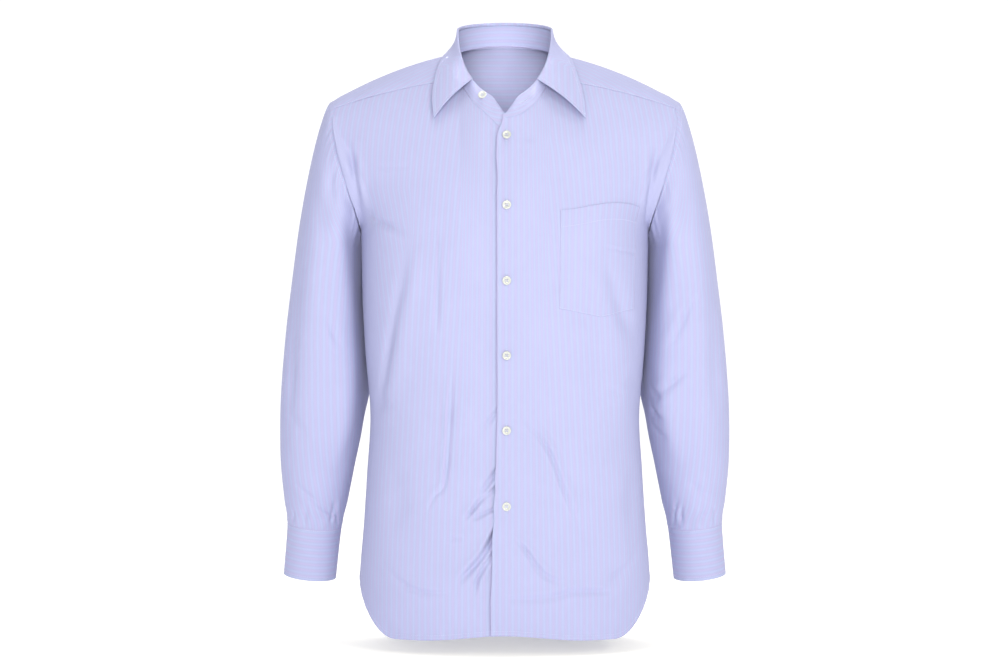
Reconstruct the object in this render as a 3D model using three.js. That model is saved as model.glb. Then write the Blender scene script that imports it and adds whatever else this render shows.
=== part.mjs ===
// A long sleeve dress shirt, buttoned up to its open collar and filled out as if worn, with nobody in it.
// Millimetres, +Z up, the front towards -Y and the wearer's left towards +X.
// The origin is the middle of the neck opening, level with the collar seam at the sides of the neck.
import * as THREE from "three";

// Cloth
const CLOTH = 1.2; // wall of a cut piece
const CUFF_CLOTH = 1.6; // a cuff is two layers with interlining
const SEAM_GAP = 0.3; // between pieces that meet at a seam
const LAYER_GAP = 0.6; // between pieces that lie on each other

// Torso, as sections one above the other: half width, and depth of the front and of the back from the side
const CHEST_Z = -235;
const SECTIONS = [
  { z: -800, width: 191, front: 115, back: 110 },
  { z: -694, width: 192.5, front: 116, back: 110 },
  { z: -620, width: 187, front: 114, back: 106 },
  { z: -553, width: 182.7, front: 112, back: 101 },
  { z: -480, width: 178.8, front: 111, back: 97 },
  { z: -394, width: 185.5, front: 116, back: 103 },
  { z: -327, width: 189, front: 122, back: 110 },
  { z: CHEST_Z, width: 191, front: 127, back: 116 },
  { z: -150, width: 192, front: 128, back: 118 },
];
const SQUARENESS = 2.45; // exponent of the section's outline, where 2 is an ellipse

// Shirt-tail hem
const SIDE_HEM_Z = -694;
const FRONT_TAIL = { drop: 69, reach: 115 };
const BACK_TAIL = { drop: 91, reach: 165 };
const FRONT_EDGE_LIFT = { rise: 7, reach: 110 };

// Neck seam
const NECK = { width: 66, front: 100, back: 66, frontZ: -92, backZ: 17, bend: 1.1 };
const YOKE_NECK_ANGLE = 1.105; // where the front yoke seam meets the neck, from the centre front

// Armhole
const SHOULDER = { x: 228, y: 5, z: -62 };
const ARMHOLE = { front: 73, back: 75, frontBend: 0.85, backBend: 0.9 };
const YOKE_ARM_ANGLE = 2.54; // where the front yoke seam meets the armhole, from the underarm
const BACK_YOKE_ARM_ANGLE = 4.118; // where the back yoke seam does
const BACK_YOKE = { y: 112, z: -85, bend: 2.2 };

// Front edges: how far each reaches past the middle, and how they part above the top button
const LEFT_EDGE = { x: -10, hemX: -18, neckX: -3, standX: 12.5 };
const RIGHT_EDGE = { x: 20, neckX: 4, standX: -10.5 };
const NECK_OPENS = 32; // length above the top button over which the edges part
const UNDERLAP = CLOTH + 1.6;

// Collar
const STAND = {
  width: 59.5,
  front: 88,
  back: 61,
  frontZ: -67,
  sideZ: 33,
  backZ: 50,
  bend: 0.95,
  corner: 11,
  height: 30,
};
const LEAF_END_ANGLE = 0.7;
// The leaf's edge by angle round the neck.
// Shift is how far both of its sides lie to the left, and full how far out it bows.
const LEAF_EDGE = [
  { angle: 0.7, x: 98, shift: 6.5, y: -90, z: -94, full: 3 },
  { angle: 0.88, x: 98.5, shift: 4, y: -70, z: -65, full: 2 },
  { angle: 1.08, x: 94, shift: 2.5, y: -47, z: -37, full: 0 },
  { angle: 1.31, x: 87.5, shift: 2, y: -19, z: -12, full: -3 },
  { angle: 1.57, x: 80, shift: 1.5, y: 5, z: 1.5, full: -4 },
  { angle: 1.92, x: 72.5, shift: 1, y: 38, z: 6, full: -1.5 },
  { angle: 2.27, x: 57, shift: 0.5, y: 59, z: 8, full: 0 },
  { angle: 2.7, x: 30, shift: 0, y: 73, z: 9, full: 0.5 },
  { angle: Math.PI, x: 0, shift: 0, y: 77.5, z: 9.5, full: 0.5 },
];

// Sleeve and cuff, in sections down the arm: outermost and innermost x, z and y of the middle, half depth
const ARM = [
  { outer: 277.5, inner: 195.5, z: -254, y: 7, depth: 69 },
  { outer: 284, inner: 194.5, z: -302, y: 10, depth: 68 },
  { outer: 291.5, inner: 191.2, z: -360, y: 15, depth: 65 },
  { outer: 297.5, inner: 187.6, z: -420, y: 20, depth: 60 },
  { outer: 301.5, inner: 189.5, z: -480, y: 25, depth: 55 },
  { outer: 302, inner: 201, z: -540, y: 31, depth: 49 },
  { outer: 297.5, inner: 212, z: -595, y: 37, depth: 43 },
  { outer: 293.6, inner: 220.2, z: -629, y: 41, depth: 36.8 },
  { outer: 299.4, inner: 228.6, z: -699, y: 49, depth: 35 },
];
const CUFF_SEAM = ARM.length - 2; // the row of the table where the cuff is sewn on
const CUFF_OVERLAP = 0.69; // angle by which the cuff's ends lap
const CUFF_START = 3.75; // angle of the under end, from the underarm
const SLEEVE_VENT = { angle: 4.1, halfWidth: 0.33, length: 150, point: 14 };

// Chest pocket on the wearer's left, in mm of cloth from the centre front and from the chest level
const POCKET = { near: 71, far: 186, top: 28, bottom: -105, point: 11 };

// Largest folds: each is a soft ridge, or a trough where its depth is below 0, from one place to another.
// On the fronts and the back the places are x and z; on a sleeve they are the angle round the arm and z.
const FRONT_FOLDS = [
  { x: -66, z: -430, toX: -76, toZ: -555, width: 14, depth: -2.6 },
  { x: -76, z: -555, toX: -98, toZ: -610, width: 14, depth: -2.2 },
  { x: -52, z: -420, toX: -62, toZ: -570, width: 16, depth: 2.4 },
  { x: 26, z: -478, toX: 98, toZ: -622, width: 14, depth: -2.6 },
  { x: 44, z: -470, toX: 112, toZ: -600, width: 18, depth: 2.2 },
  { x: 18, z: -640, toX: 52, toZ: -684, width: 14, depth: -1.8 },
  { x: -14, z: -636, toX: -56, toZ: -694, width: 14, depth: -2.6 },
  { x: -15, z: -604, toX: -60, toZ: -640, width: 14, depth: -2.2 },
  { x: -16, z: -560, toX: -44, toZ: -600, width: 14, depth: -1.8 },
  { x: -168, z: -226, toX: -116, toZ: -258, width: 15, depth: -2.6 },
];
const BACK_FOLDS = [
  { x: -62, z: -150, toX: -50, toZ: -420, width: 21, depth: -3.2 },
  { x: 66, z: -150, toX: 52, toZ: -400, width: 21, depth: -3 },
  { x: -150, z: -250, toX: -84, toZ: -330, width: 16, depth: -2.8 },
  { x: 152, z: -244, toX: 92, toZ: -314, width: 16, depth: -2.8 },
  { x: -118, z: -452, toX: -28, toZ: -486, width: 16, depth: -3 },
  { x: 104, z: -430, toX: 22, toZ: -470, width: 15, depth: -2.8 },
  { x: 30, z: -540, toX: 46, toZ: -690, width: 19, depth: 2.8 },
  { x: -70, z: -560, toX: -82, toZ: -700, width: 18, depth: 2.4 },
];
const LEFT_SLEEVE_FOLDS = [
  { angle: 2.55, z: -112, toAngle: 1.25, toZ: -212, width: 14, depth: 3 },
  { angle: 2.2, z: -150, toAngle: 1.3, toZ: -250, width: 14, depth: -2.6 },
  { angle: 0.5, z: -300, toAngle: 1.6, toZ: -352, width: 14, depth: -2.8 },
  { angle: 0.7, z: -384, toAngle: 1.9, toZ: -420, width: 14, depth: -3 },
  { angle: 2.5, z: -452, toAngle: 1.5, toZ: -500, width: 14, depth: -2.4 },
  { angle: 4.2, z: -336, toAngle: 5.3, toZ: -372, width: 16, depth: -3 },
  { angle: 4, z: -432, toAngle: 5.2, toZ: -420, width: 15, depth: -2.8 },
  { angle: 1.5, z: -610, toAngle: 1.3, toZ: -560, width: 14, depth: -2.4 },
];
const RIGHT_SLEEVE_FOLDS = [
  { angle: 2.5, z: -120, toAngle: 1.3, toZ: -220, width: 14, depth: 3 },
  { angle: 2.1, z: -165, toAngle: 1.2, toZ: -262, width: 14, depth: -2.4 },
  { angle: 0.6, z: -330, toAngle: 1.5, toZ: -366, width: 14, depth: -2.8 },
  { angle: 0.8, z: -410, toAngle: 1.8, toZ: -438, width: 14, depth: -2.6 },
  { angle: 2.55, z: -560, toAngle: 1.05, toZ: -622, width: 14, depth: -3 },
  { angle: 4.3, z: -320, toAngle: 5.4, toZ: -352, width: 16, depth: -2.8 },
  { angle: 4.1, z: -404, toAngle: 5.2, toZ: -430, width: 15, depth: -3 },
  { angle: 0.9, z: -612, toAngle: 0.7, toZ: -566, width: 14, depth: -2.2 },
];
const ARM_RADIUS = 50; // turns a sleeve fold's angle into a distance

// Buttons
const BUTTON = { radius: 5.7, thick: 2.2, sides: 18, hole: 0.85, holeFromMiddle: 1.55, holeSides: 5 };
const BUTTON_X = 2.5;
const BUTTON_ZS = [-117, -207.5, -304, -400, -496.5, -594];

const BUTTON_GAP = 0.4; // above the highest cloth under the rim

const lerp = (a, b, t) => a + (b - a) * t;
const clamp01 = (t) => Math.min(1, Math.max(0, t));
const smooth = (t) => clamp01(t) ** 2 * (3 - 2 * clamp01(t));
const vec = (x, y, z) => new THREE.Vector3(x, y, z);
const mix = (p, q, t) => p.clone().lerp(q, t);

// A cubic through two points, leaving the first along one vector and reaching the second along another.
function hermite(p, leave, q, reach, t) {
  const t2 = t * t;
  const t3 = t2 * t;
  return p
    .clone()
    .multiplyScalar(2 * t3 - 3 * t2 + 1)
    .addScaledVector(leave, t3 - 2 * t2 + t)
    .addScaledVector(q, 3 * t2 - 2 * t3)
    .addScaledVector(reach, t3 - t2);
}

// Reads a table's column at any place between its rows, on a smooth curve through them.
function read(table, key, column, at) {
  let i = 0;
  const rising = table[1][key] > table[0][key];
  while (i < table.length - 2 && (rising ? at > table[i + 1][key] : at < table[i + 1][key])) i += 1;
  const slope = (k) => {
    const a = table[Math.max(0, k - 1)];
    const b = table[Math.min(table.length - 1, k + 1)];
    return (b[column] - a[column]) / (b[key] - a[key]);
  };
  const [a, b] = [table[i], table[i + 1]];
  const span = b[key] - a[key];
  const t = (at - a[key]) / span;
  return (
    a[column] * (1 + 2 * t) * (1 - t) ** 2 +
    b[column] * t * t * (3 - 2 * t) +
    slope(i) * span * t * (1 - t) ** 2 -
    slope(i + 1) * span * t * t * (1 - t)
  );
}

// A quarter of a torso section with both half axes 1, by shares of its length that are even on the chest.
function quarterOutline(width, depth) {
  const steps = 240;
  const points = [];
  for (let i = 0; i <= steps; i++) {
    const angle = (i / steps) * (Math.PI / 2);
    const across = Math.sin(angle) ** (2 / SQUARENESS);
    const along = Math.max(0, Math.cos(angle)) ** (2 / SQUARENESS);
    const last = points[i - 1];
    const step = last ? Math.hypot((across - last.across) * width, (along - last.along) * depth) : 0;
    points.push({ across, along, length: (last ? last.length : 0) + step });
  }
  const total = points[steps].length;
  const at = (share) => {
    const wanted = Math.abs(share) * total;
    let i = 1;
    while (i < steps && points[i].length < wanted) i += 1;
    const [a, b] = [points[i - 1], points[i]];
    const t = (wanted - a.length) / (b.length - a.length);
    return { across: Math.sign(share) * lerp(a.across, b.across, t), along: lerp(a.along, b.along, t) };
  };
  return { at, total };
}

const chest = SECTIONS.find((section) => section.z === CHEST_Z);
const FRONT_QUARTER = quarterOutline(chest.width, chest.front);
const BACK_QUARTER = quarterOutline(chest.width, chest.back);

// The torso below the chest: share runs from the middle of the front or back to the side seam.
function torsoPoint(side, share, z) {
  const quarter = side === "front" ? FRONT_QUARTER : BACK_QUARTER;
  const { across, along } = quarter.at(share);
  const depth = read(SECTIONS, "z", side, z) * along;
  return vec(read(SECTIONS, "z", "width", z) * across, side === "front" ? -depth : depth, z);
}

// The neck seam and the top of the collar stand, both by angle from the centre front.
function neckPoint(angle) {
  const cos = Math.cos(angle);
  const y = cos > 0 ? -NECK.front * cos : -NECK.back * cos;
  const z = cos > 0 ? NECK.frontZ * cos ** NECK.bend : NECK.backZ * (-cos) ** NECK.bend;
  return vec(NECK.width * Math.sin(angle), y, z);
}

function standTop(angle) {
  const cos = Math.cos(angle);
  const y = cos > 0 ? -STAND.front * cos : -STAND.back * cos;
  const fall = (STAND.frontZ - STAND.sideZ) * Math.max(0, cos) ** STAND.bend;
  const rise = (STAND.backZ - STAND.sideZ) * Math.max(0, -cos);
  return vec(STAND.width * Math.sin(angle), y, STAND.sideZ + fall + rise);
}

// The armhole by angle: 0 at the underarm, then up the front, over the shoulder at PI and down the back.
function armholePoint(angle) {
  const up = (1 - Math.cos(angle)) / 2;
  const sin = Math.sin(angle);
  const front = -ARMHOLE.front * Math.max(0, sin) ** ARMHOLE.frontBend;
  const back = ARMHOLE.back * Math.max(0, -sin) ** ARMHOLE.backBend;
  return vec(
    lerp(chest.width, SHOULDER.x, smooth(up ** 0.75)),
    SHOULDER.y * up + front + back,
    lerp(CHEST_Z, SHOULDER.z, up),
  );
}

function backYokePoint(share) {
  const corner = armholePoint(BACK_YOKE_ARM_ANGLE);
  return vec(
    corner.x * share,
    lerp(BACK_YOKE.y, corner.y, share ** BACK_YOKE.bend),
    lerp(BACK_YOKE.z, corner.z, share ** 2),
  );
}

// The yoke: round runs from the front seam over the shoulder to the centre back, and out from the neck.
const YOKE_STOPS = [
  { round: 0, neck: YOKE_NECK_ANGLE, arm: YOKE_ARM_ANGLE, lean: -0.42, bulge: 0.12 },
  { round: 0.3, neck: Math.PI / 2, arm: Math.PI, lean: 0, bulge: 0.18 },
  { round: 0.55, neck: 2.2, arm: BACK_YOKE_ARM_ANGLE, lean: 0.6, bulge: 0.17 },
  { round: 1, neck: Math.PI, arm: BACK_YOKE_ARM_ANGLE, lean: 1.15, bulge: 0.18 },
];

function yokePoint(round, out) {
  const i = round < YOKE_STOPS[1].round ? 0 : round < YOKE_STOPS[2].round ? 1 : 2;
  const [a, b] = [YOKE_STOPS[i], YOKE_STOPS[i + 1]];
  const t = (round - a.round) / (b.round - a.round);
  const neck = neckPoint(lerp(a.neck, b.neck, t));
  const edge = i === 2 ? backYokePoint(1 - t) : armholePoint(lerp(a.arm, b.arm, t));
  const lean = lerp(a.lean, b.lean, t);
  const chord = edge.clone().sub(neck);
  const bulge = lerp(a.bulge, b.bulge, t) * chord.length();
  const up = vec(0, Math.sin(lean), Math.cos(lean)).multiplyScalar(bulge);
  return hermite(neck, chord.clone().add(up), edge, chord.clone().sub(up), out);
}

// Where each upright line of cloth ends at the top, and which way it points there.
const FRONT_STOPS = { neck: 0.215, arm: 0.7 };
const BACK_STOP = 0.7;

function frontTop(share) {
  const side = Math.abs(share);
  if (side <= FRONT_STOPS.neck) {
    const reach = NECK.width * Math.sin(YOKE_NECK_ANGLE);
    const x = (reach * FRONT_QUARTER.at(share).across) / FRONT_QUARTER.at(FRONT_STOPS.neck).across;
    const t = side / FRONT_STOPS.neck;
    const lean = vec(0, lerp(0.36, 0.7, t), lerp(0.93, 0.71, t));
    return { point: neckPoint(Math.asin(x / NECK.width)), lean };
  }
  if (side <= FRONT_STOPS.arm) {
    const t = (side - FRONT_STOPS.neck) / (FRONT_STOPS.arm - FRONT_STOPS.neck);
    return { point: yokePoint(0, t), lean: vec(0.05 * t, lerp(0.7, 0.74, t), lerp(0.71, 0.65, t)) };
  }
  const t = (side - FRONT_STOPS.arm) / (1 - FRONT_STOPS.arm);
  const lean = mix(vec(0.05, 0.74, 0.65), vec(0.12, 0, 1), smooth(t / 0.4));
  return { point: armholePoint(YOKE_ARM_ANGLE * (1 - t) ** 1.6), lean: lean.normalize() };
}

function backTop(share) {
  const side = Math.abs(share);
  if (side <= BACK_STOP) {
    return { point: backYokePoint(side / BACK_STOP), lean: vec(0.03 * side, -0.28, 0.96) };
  }
  const t = (side - BACK_STOP) / (1 - BACK_STOP);
  const lean = mix(vec(0.02, -0.3, 0.95), vec(0.12, 0, 1), smooth(t / 0.5));
  const turn = (2 * Math.PI - BACK_YOKE_ARM_ANGLE) * (1 - t) ** 1.6;
  return { point: armholePoint(2 * Math.PI - turn), lean: lean.normalize() };
}

// An upright line of cloth: its length above the chest, and its point at a distance above or below it.
function upright(side, share) {
  const { point: top, lean } = side === "front" ? frontTop(share) : backTop(share);
  top.x = Math.abs(top.x) * Math.sign(share || 1);
  const start = torsoPoint(side, share, CHEST_Z);
  const length = top.distanceTo(start);
  const next = torsoPoint(side, share, CHEST_Z + 1).sub(start);
  const reach = lean.clone().multiplyScalar(length);
  reach.x *= Math.sign(share || 1);
  const at = (above) => {
    if (above <= 0 || length < 0.01) return torsoPoint(side, share, CHEST_Z + Math.min(above, 0));
    return hermite(start, next.clone().multiplyScalar(length), top, reach, above / length);
  };
  return { length, at };
}

function hemZ(side, share) {
  const tail = side === "front" ? FRONT_TAIL : BACK_TAIL;
  const quarter = side === "front" ? FRONT_QUARTER : BACK_QUARTER;
  const fromSide = (1 - Math.abs(share)) * quarter.total;
  const fromMiddle = Math.abs(share) * quarter.total;
  const { rise, reach } = FRONT_EDGE_LIFT;
  const lift = side === "front" ? rise * (1 - smooth(fromMiddle / reach)) : 0;
  return SIDE_HEM_Z - tail.drop * smooth(fromSide / tail.reach) + lift;
}

// How far the folds move the cloth out at a place.
function foldsAt(folds, a, b) {
  let out = 0;
  for (const fold of folds) {
    const [alongA, alongB] = [fold.toA - fold.a, fold.toB - fold.b];
    const length = Math.hypot(alongA, alongB);
    const along = ((a - fold.a) * alongA + (b - fold.b) * alongB) / length;
    const across = ((b - fold.b) * alongA - (a - fold.a) * alongB) / length;
    const past = Math.max(0, -along, along - length);
    out += fold.depth * Math.exp(-((across / fold.width) ** 2) - (past / (2 * fold.width)) ** 2);
  }
  return out;
}
const panelFolds = (folds) => folds.map((f) => ({ ...f, a: f.x, b: f.z, toA: f.toX, toB: f.toZ }));
const armFolds = (folds) =>
  folds.map((f) => ({ ...f, a: f.angle * ARM_RADIUS, b: f.z, toA: f.toAngle * ARM_RADIUS, toB: f.toZ }));
const frontFolds = panelFolds(FRONT_FOLDS);
const backFolds = panelFolds(BACK_FOLDS);

// A grid's normal at a point, which is on the outside where its rows run up and its columns run to the
// right, seen from there.
function gridNormal(grid, i, j) {
  const along = grid[Math.min(i + 1, grid.length - 1)][j].clone().sub(grid[Math.max(i - 1, 0)][j]);
  const across = grid[i][Math.min(j + 1, grid[i].length - 1)].clone().sub(grid[i][Math.max(j - 1, 0)]);
  return across.cross(along).normalize();
}

function folded(grid, folds) {
  const moved = (p, i, j) => p.clone().addScaledVector(gridNormal(grid, i, j), foldsAt(folds, p.x, p.z));
  return grid.map((row, i) => row.map((p, j) => moved(p, i, j)));
}

// A closed wall under a grid of outer points: grid[row][column].
function wall(grid, thickness) {
  const rows = grid.length;
  const columns = grid[0].length;
  const outer = grid.flat();
  const inner = grid.flatMap((row, i) =>
    row.map((p, j) => p.clone().addScaledVector(gridNormal(grid, i, j), -thickness)),
  );
  const count = outer.length;
  const index = [];
  const quad = (a, b, c, d) => index.push(a, b, c, a, c, d);
  for (let i = 0; i + 1 < rows; i++) {
    for (let j = 0; j + 1 < columns; j++) {
      const [a, b] = [i * columns + j, i * columns + j + 1];
      const [c, d] = [b + columns, a + columns];
      // Both faces are split along the shorter diagonal.
      if (outer[a].distanceTo(outer[c]) < outer[b].distanceTo(outer[d])) {
        quad(a, b, c, d);
        quad(count + a, count + d, count + c, count + b);
      } else {
        quad(b, c, d, a);
        quad(count + b, count + a, count + d, count + c);
      }
    }
  }
  for (let j = 0; j + 1 < columns; j++) {
    const top = (rows - 1) * columns + j;
    quad(j, count + j, count + j + 1, j + 1);
    quad(top, top + 1, count + top + 1, count + top);
  }
  for (let i = 0; i + 1 < rows; i++) {
    const left = i * columns;
    const right = left + columns - 1;
    quad(left, left + columns, count + left + columns, count + left);
    quad(right, count + right, count + right + columns, right + columns);
  }
  return solid([...outer, ...inner], index);
}

function ringNormal(rings, i, j) {
  const columns = rings[i].length;
  const along = rings[Math.min(i + 1, rings.length - 1)][j].clone().sub(rings[Math.max(i - 1, 0)][j]);
  const across = rings[i][(j + 1) % columns].clone().sub(rings[i][(j + columns - 1) % columns]);
  return along.cross(across).normalize();
}

// A closed wall whose grid goes all the way round: the last column meets the first.
function tubeWall(rings, thickness) {
  const rows = rings.length;
  const columns = rings[0].length;
  const inner = rings.map((ring, i) =>
    ring.map((p, j) => p.clone().addScaledVector(ringNormal(rings, i, j), -thickness)),
  );
  const points = [...rings.flat(), ...inner.flat()];
  const count = rows * columns;
  const index = [];
  const quad = (a, b, c, d) => index.push(a, b, c, a, c, d);
  for (let j = 0; j < columns; j++) {
    const k = (j + 1) % columns;
    for (let i = 0; i + 1 < rows; i++) {
      const [a, b] = [i * columns + j, i * columns + k];
      quad(a, b, b + columns, a + columns);
      quad(count + a, count + a + columns, count + b + columns, count + b);
    }
    const [a, b] = [(rows - 1) * columns + j, (rows - 1) * columns + k];
    quad(j, count + j, count + k, k);
    quad(a, b, count + b, count + a);
  }
  return solid(points, index);
}

// A geometry from points and triangles, turned so that its faces point out.
function solid(points, index) {
  let volume = 0;
  for (let i = 0; i < index.length; i += 3) {
    const [a, b, c] = [points[index[i]], points[index[i + 1]], points[index[i + 2]]];
    volume += a.dot(b.clone().cross(c));
  }
  if (volume < 0) {
    for (let i = 0; i < index.length; i += 3) [index[i + 1], index[i + 2]] = [index[i + 2], index[i + 1]];
  }
  const geometry = new THREE.BufferGeometry();
  const numbers = points.flatMap((p) => [p.x, p.y, p.z]);
  geometry.setAttribute("position", new THREE.Float32BufferAttribute(numbers, 3));
  geometry.setIndex(index);
  geometry.computeVertexNormals();
  return geometry;
}

const mirrored = (grid) => grid.map((row) => row.map((p) => vec(-p.x, p.y, p.z)).reverse());

// Materials
const shirting = new THREE.MeshStandardMaterial({ color: 0xcdd2f5, roughness: 0.85 });
const pearl = new THREE.MeshStandardMaterial({ color: 0xe9ebe8, roughness: 0.3 });
const shirt = new THREE.Group();

function add(name, geometry, material = shirting) {
  const mesh = new THREE.Mesh(geometry, material);
  mesh.name = name;
  shirt.add(mesh);
  return mesh;
}

// Fronts: columns run from the front edge to the side seam, and rows from the hem to the neck, yoke and arm.
const FRONT_ROWS = 26;
const FRONT_COLUMNS = { edge: 5, seam: 7, arm: 6 };
const SIDE_SEAM_SHARE = SEAM_GAP / FRONT_QUARTER.total;

// The share of the front quarter at which an x lies, near the middle.
function shareOfX(x) {
  let low = 0;
  let high = 0.5;
  for (let i = 0; i < 30; i++) {
    const middle = (low + high) / 2;
    if (FRONT_QUARTER.at(middle).across * chest.width < Math.abs(x)) low = middle;
    else high = middle;
  }
  return Math.sign(x) * low;
}

function frontGrid(edgeX) {
  const shares = [];
  for (let j = 0; j <= FRONT_COLUMNS.edge; j++) shares.push({ edge: 1 - j / FRONT_COLUMNS.edge });
  for (let j = 1; j <= FRONT_COLUMNS.seam; j++) {
    shares.push({ share: lerp(FRONT_STOPS.neck, FRONT_STOPS.arm, j / FRONT_COLUMNS.seam) });
  }
  for (let j = 1; j <= FRONT_COLUMNS.arm; j++) {
    shares.push({ share: lerp(FRONT_STOPS.arm, 1 - SIDE_SEAM_SHARE, j / FRONT_COLUMNS.arm) });
  }
  const grid = [];
  for (let i = 0; i <= FRONT_ROWS; i++) {
    grid.push(
      shares.map(({ edge, share }) => {
        const t = i / FRONT_ROWS;
        const roughZ = lerp(hemZ("front", 0.1), NECK.frontZ, t);
        const where = edge === undefined ? share : lerp(FRONT_STOPS.neck, shareOfX(edgeX(roughZ)), edge);
        const line = upright("front", where);
        const low = hemZ("front", where) - CHEST_Z;
        return line.at(lerp(low, line.length - SEAM_GAP, t));
      }),
    );
  }
  return grid;
}

const opening = (z) => smooth((z - (NECK.frontZ - NECK_OPENS)) / NECK_OPENS);
const leftEdgeX = (z) =>
  lerp(lerp(LEFT_EDGE.x, LEFT_EDGE.hemX, smooth((-430 - z) / 320)), LEFT_EDGE.neckX, opening(z));
const rightEdgeX = (z) => lerp(RIGHT_EDGE.x, RIGHT_EDGE.neckX, opening(z));
const underlap = (p) => UNDERLAP * smooth((p.x + 34) / 20);

add("front_left", wall(folded(frontGrid(leftEdgeX), frontFolds), CLOTH));
// The right front is worked out on the left and turned over, so its edge is given the other way round.
const rightFront = folded(mirrored(frontGrid((z) => -rightEdgeX(z))), frontFolds);
for (const p of rightFront.flat()) p.y += underlap(p);
add("front_right", wall(rightFront, CLOTH));

// Back: from one side seam to the other
const BACK_ROWS = 22;
const BACK_COLUMNS = { arm: 5, seam: 6 };
function backGrid() {
  const half = [];
  for (let j = 0; j <= BACK_COLUMNS.seam; j++) half.push((BACK_STOP * j) / BACK_COLUMNS.seam);
  for (let j = 1; j <= BACK_COLUMNS.arm; j++) {
    half.push(lerp(BACK_STOP, 1 - SIDE_SEAM_SHARE, j / BACK_COLUMNS.arm));
  }
  const shares = [...half.slice(1).reverse(), ...half.map((share) => -share)];
  const grid = [];
  for (let i = 0; i <= BACK_ROWS; i++) {
    grid.push(
      shares.map((share) => {
        const line = upright("back", share);
        return line.at(lerp(hemZ("back", share) - CHEST_Z, line.length - SEAM_GAP, i / BACK_ROWS));
      }),
    );
  }
  return grid;
}
add("back", wall(folded(backGrid(), backFolds), CLOTH));

// Yoke: one piece from the left front seam round the back of the neck to the right one
const YOKE_COLUMNS = [5, 4, 6];
const YOKE_ROWS = 6;
const YOKE_INSET = 0.004; // share by which the yoke stops short of its seams
function yokeGrid() {
  const half = [];
  YOKE_COLUMNS.forEach((steps, i) => {
    const [from, to] = [YOKE_STOPS[i].round, YOKE_STOPS[i + 1].round];
    for (let j = 0; j < steps; j++) half.push(lerp(from, to, j / steps));
  });
  half[0] = YOKE_INSET;
  const line = (round, sign, out) => {
    const p = yokePoint(round, out);
    return vec(p.x * sign, p.y, p.z);
  };
  const grid = [];
  for (let i = 0; i <= YOKE_ROWS; i++) {
    const out = lerp(YOKE_INSET, 1 - YOKE_INSET, i / YOKE_ROWS);
    grid.push([
      ...half.map((round) => line(round, 1, out)),
      line(1, 1, out),
      ...[...half].reverse().map((round) => line(round, -1, out)),
    ]);
  }
  return grid;
}
add("yoke", wall(yokeGrid(), CLOTH));

// Collar stand: a band on the neck seam, with round front ends that stand open
const STAND_COLUMNS = 38;
const STAND_ROWS = 3;
function endAngle(edge, up) {
  return Math.asin(lerp(edge.neckX, edge.standX, up) / lerp(NECK.width, STAND.width, up));
}

function standPoint(angle, up) {
  const at = ((angle % (2 * Math.PI)) + 2 * Math.PI) % (2 * Math.PI);
  const low = neckPoint(at);
  const high = standTop(at);
  const p = mix(low, high, up);
  p.addScaledVector(high.clone().sub(low).normalize(), 3 * SEAM_GAP * (1 - up));
  if (angle > 1.5 * Math.PI) p.y += underlap(p);
  return p;
}

function standGrid() {
  const grid = [];
  for (let i = 0; i <= STAND_ROWS; i++) {
    const row = [];
    for (let j = 0; j <= STAND_COLUMNS; j++) {
      const t = j / STAND_COLUMNS;
      const eased = t - (0.72 * Math.sin(2 * Math.PI * t)) / (2 * Math.PI); // closer together at the ends
      const up = i / STAND_ROWS;
      const [from, to] = [endAngle(LEFT_EDGE, up), 2 * Math.PI + endAngle(RIGHT_EDGE, up)];
      const angle = lerp(from, to, eased);
      const { corner, width, height } = STAND;
      const inside = Math.min((angle - from) * width, (to - angle) * width, corner);
      const cut = (corner - Math.sqrt(corner ** 2 - (corner - inside) ** 2)) / height;
      row.push(standPoint(angle, (1 - cut) * up));
    }
    grid.push(row);
  }
  return grid;
}
add("collar_stand", wall(standGrid(), CLOTH));

// Collar leaf: rolls over the top of the stand and falls outside it to its edge and points
const LEAF_COLUMNS = 34;
const LEAF_ROLL = [
  { out: -0.9, up: 1.9 },
  { out: 0.7, up: 2.3 },
  { out: 2.4, up: 1.6 },
  { out: 3.2, up: -0.3 },
];
const LEAF_ROWS = 4;

function leafLine(angle) {
  const fold = standPoint(angle, 1);
  const up = fold.clone().sub(standPoint(angle, 0)).normalize();
  const along = standPoint(angle + 0.01, 1).sub(standPoint(angle - 0.01, 1)).normalize();
  const out = along.clone().cross(up).normalize();
  const turned = Math.PI - Math.abs(Math.PI - angle);
  const fullness = read(LEAF_EDGE, "angle", "full", turned);
  const side = Math.abs(angle - Math.PI) < 1e-6 ? 0 : Math.sign(Math.sin(angle));
  const edge = vec(
    side * read(LEAF_EDGE, "angle", "x", turned) + read(LEAF_EDGE, "angle", "shift", turned),
    read(LEAF_EDGE, "angle", "y", turned),
    read(LEAF_EDGE, "angle", "z", turned),
  );
  const rolled = (step) => fold.clone().addScaledVector(out, step.out).addScaledVector(up, step.up);
  const line = LEAF_ROLL.map(rolled);
  const last = line[line.length - 1].clone();
  for (let i = 1; i <= LEAF_ROWS; i++) {
    const t = i / LEAF_ROWS;
    line.push(mix(last, edge, t).addScaledVector(out, fullness * Math.sin(Math.PI * t)));
  }
  return line;
}

function leafGrid() {
  const columns = [];
  for (let j = 0; j <= LEAF_COLUMNS; j++) {
    const t = j / LEAF_COLUMNS;
    const eased = t - (0.35 * Math.sin(2 * Math.PI * t)) / (2 * Math.PI);
    columns.push(leafLine(lerp(LEAF_END_ANGLE, 2 * Math.PI - LEAF_END_ANGLE, eased)));
  }
  return columns[0].map((_, i) => columns.map((column) => column[i]));
}
add("collar_leaf", wall(leafGrid(), CLOTH));

// Sleeves: from the armhole to the cuff, by angle round the arm from the underarm
const SLEEVE_COLUMNS = 24;
const SLEEVE_HEAD_ROWS = 6;
const SLEEVE_ARM_ROWS = 15;

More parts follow.
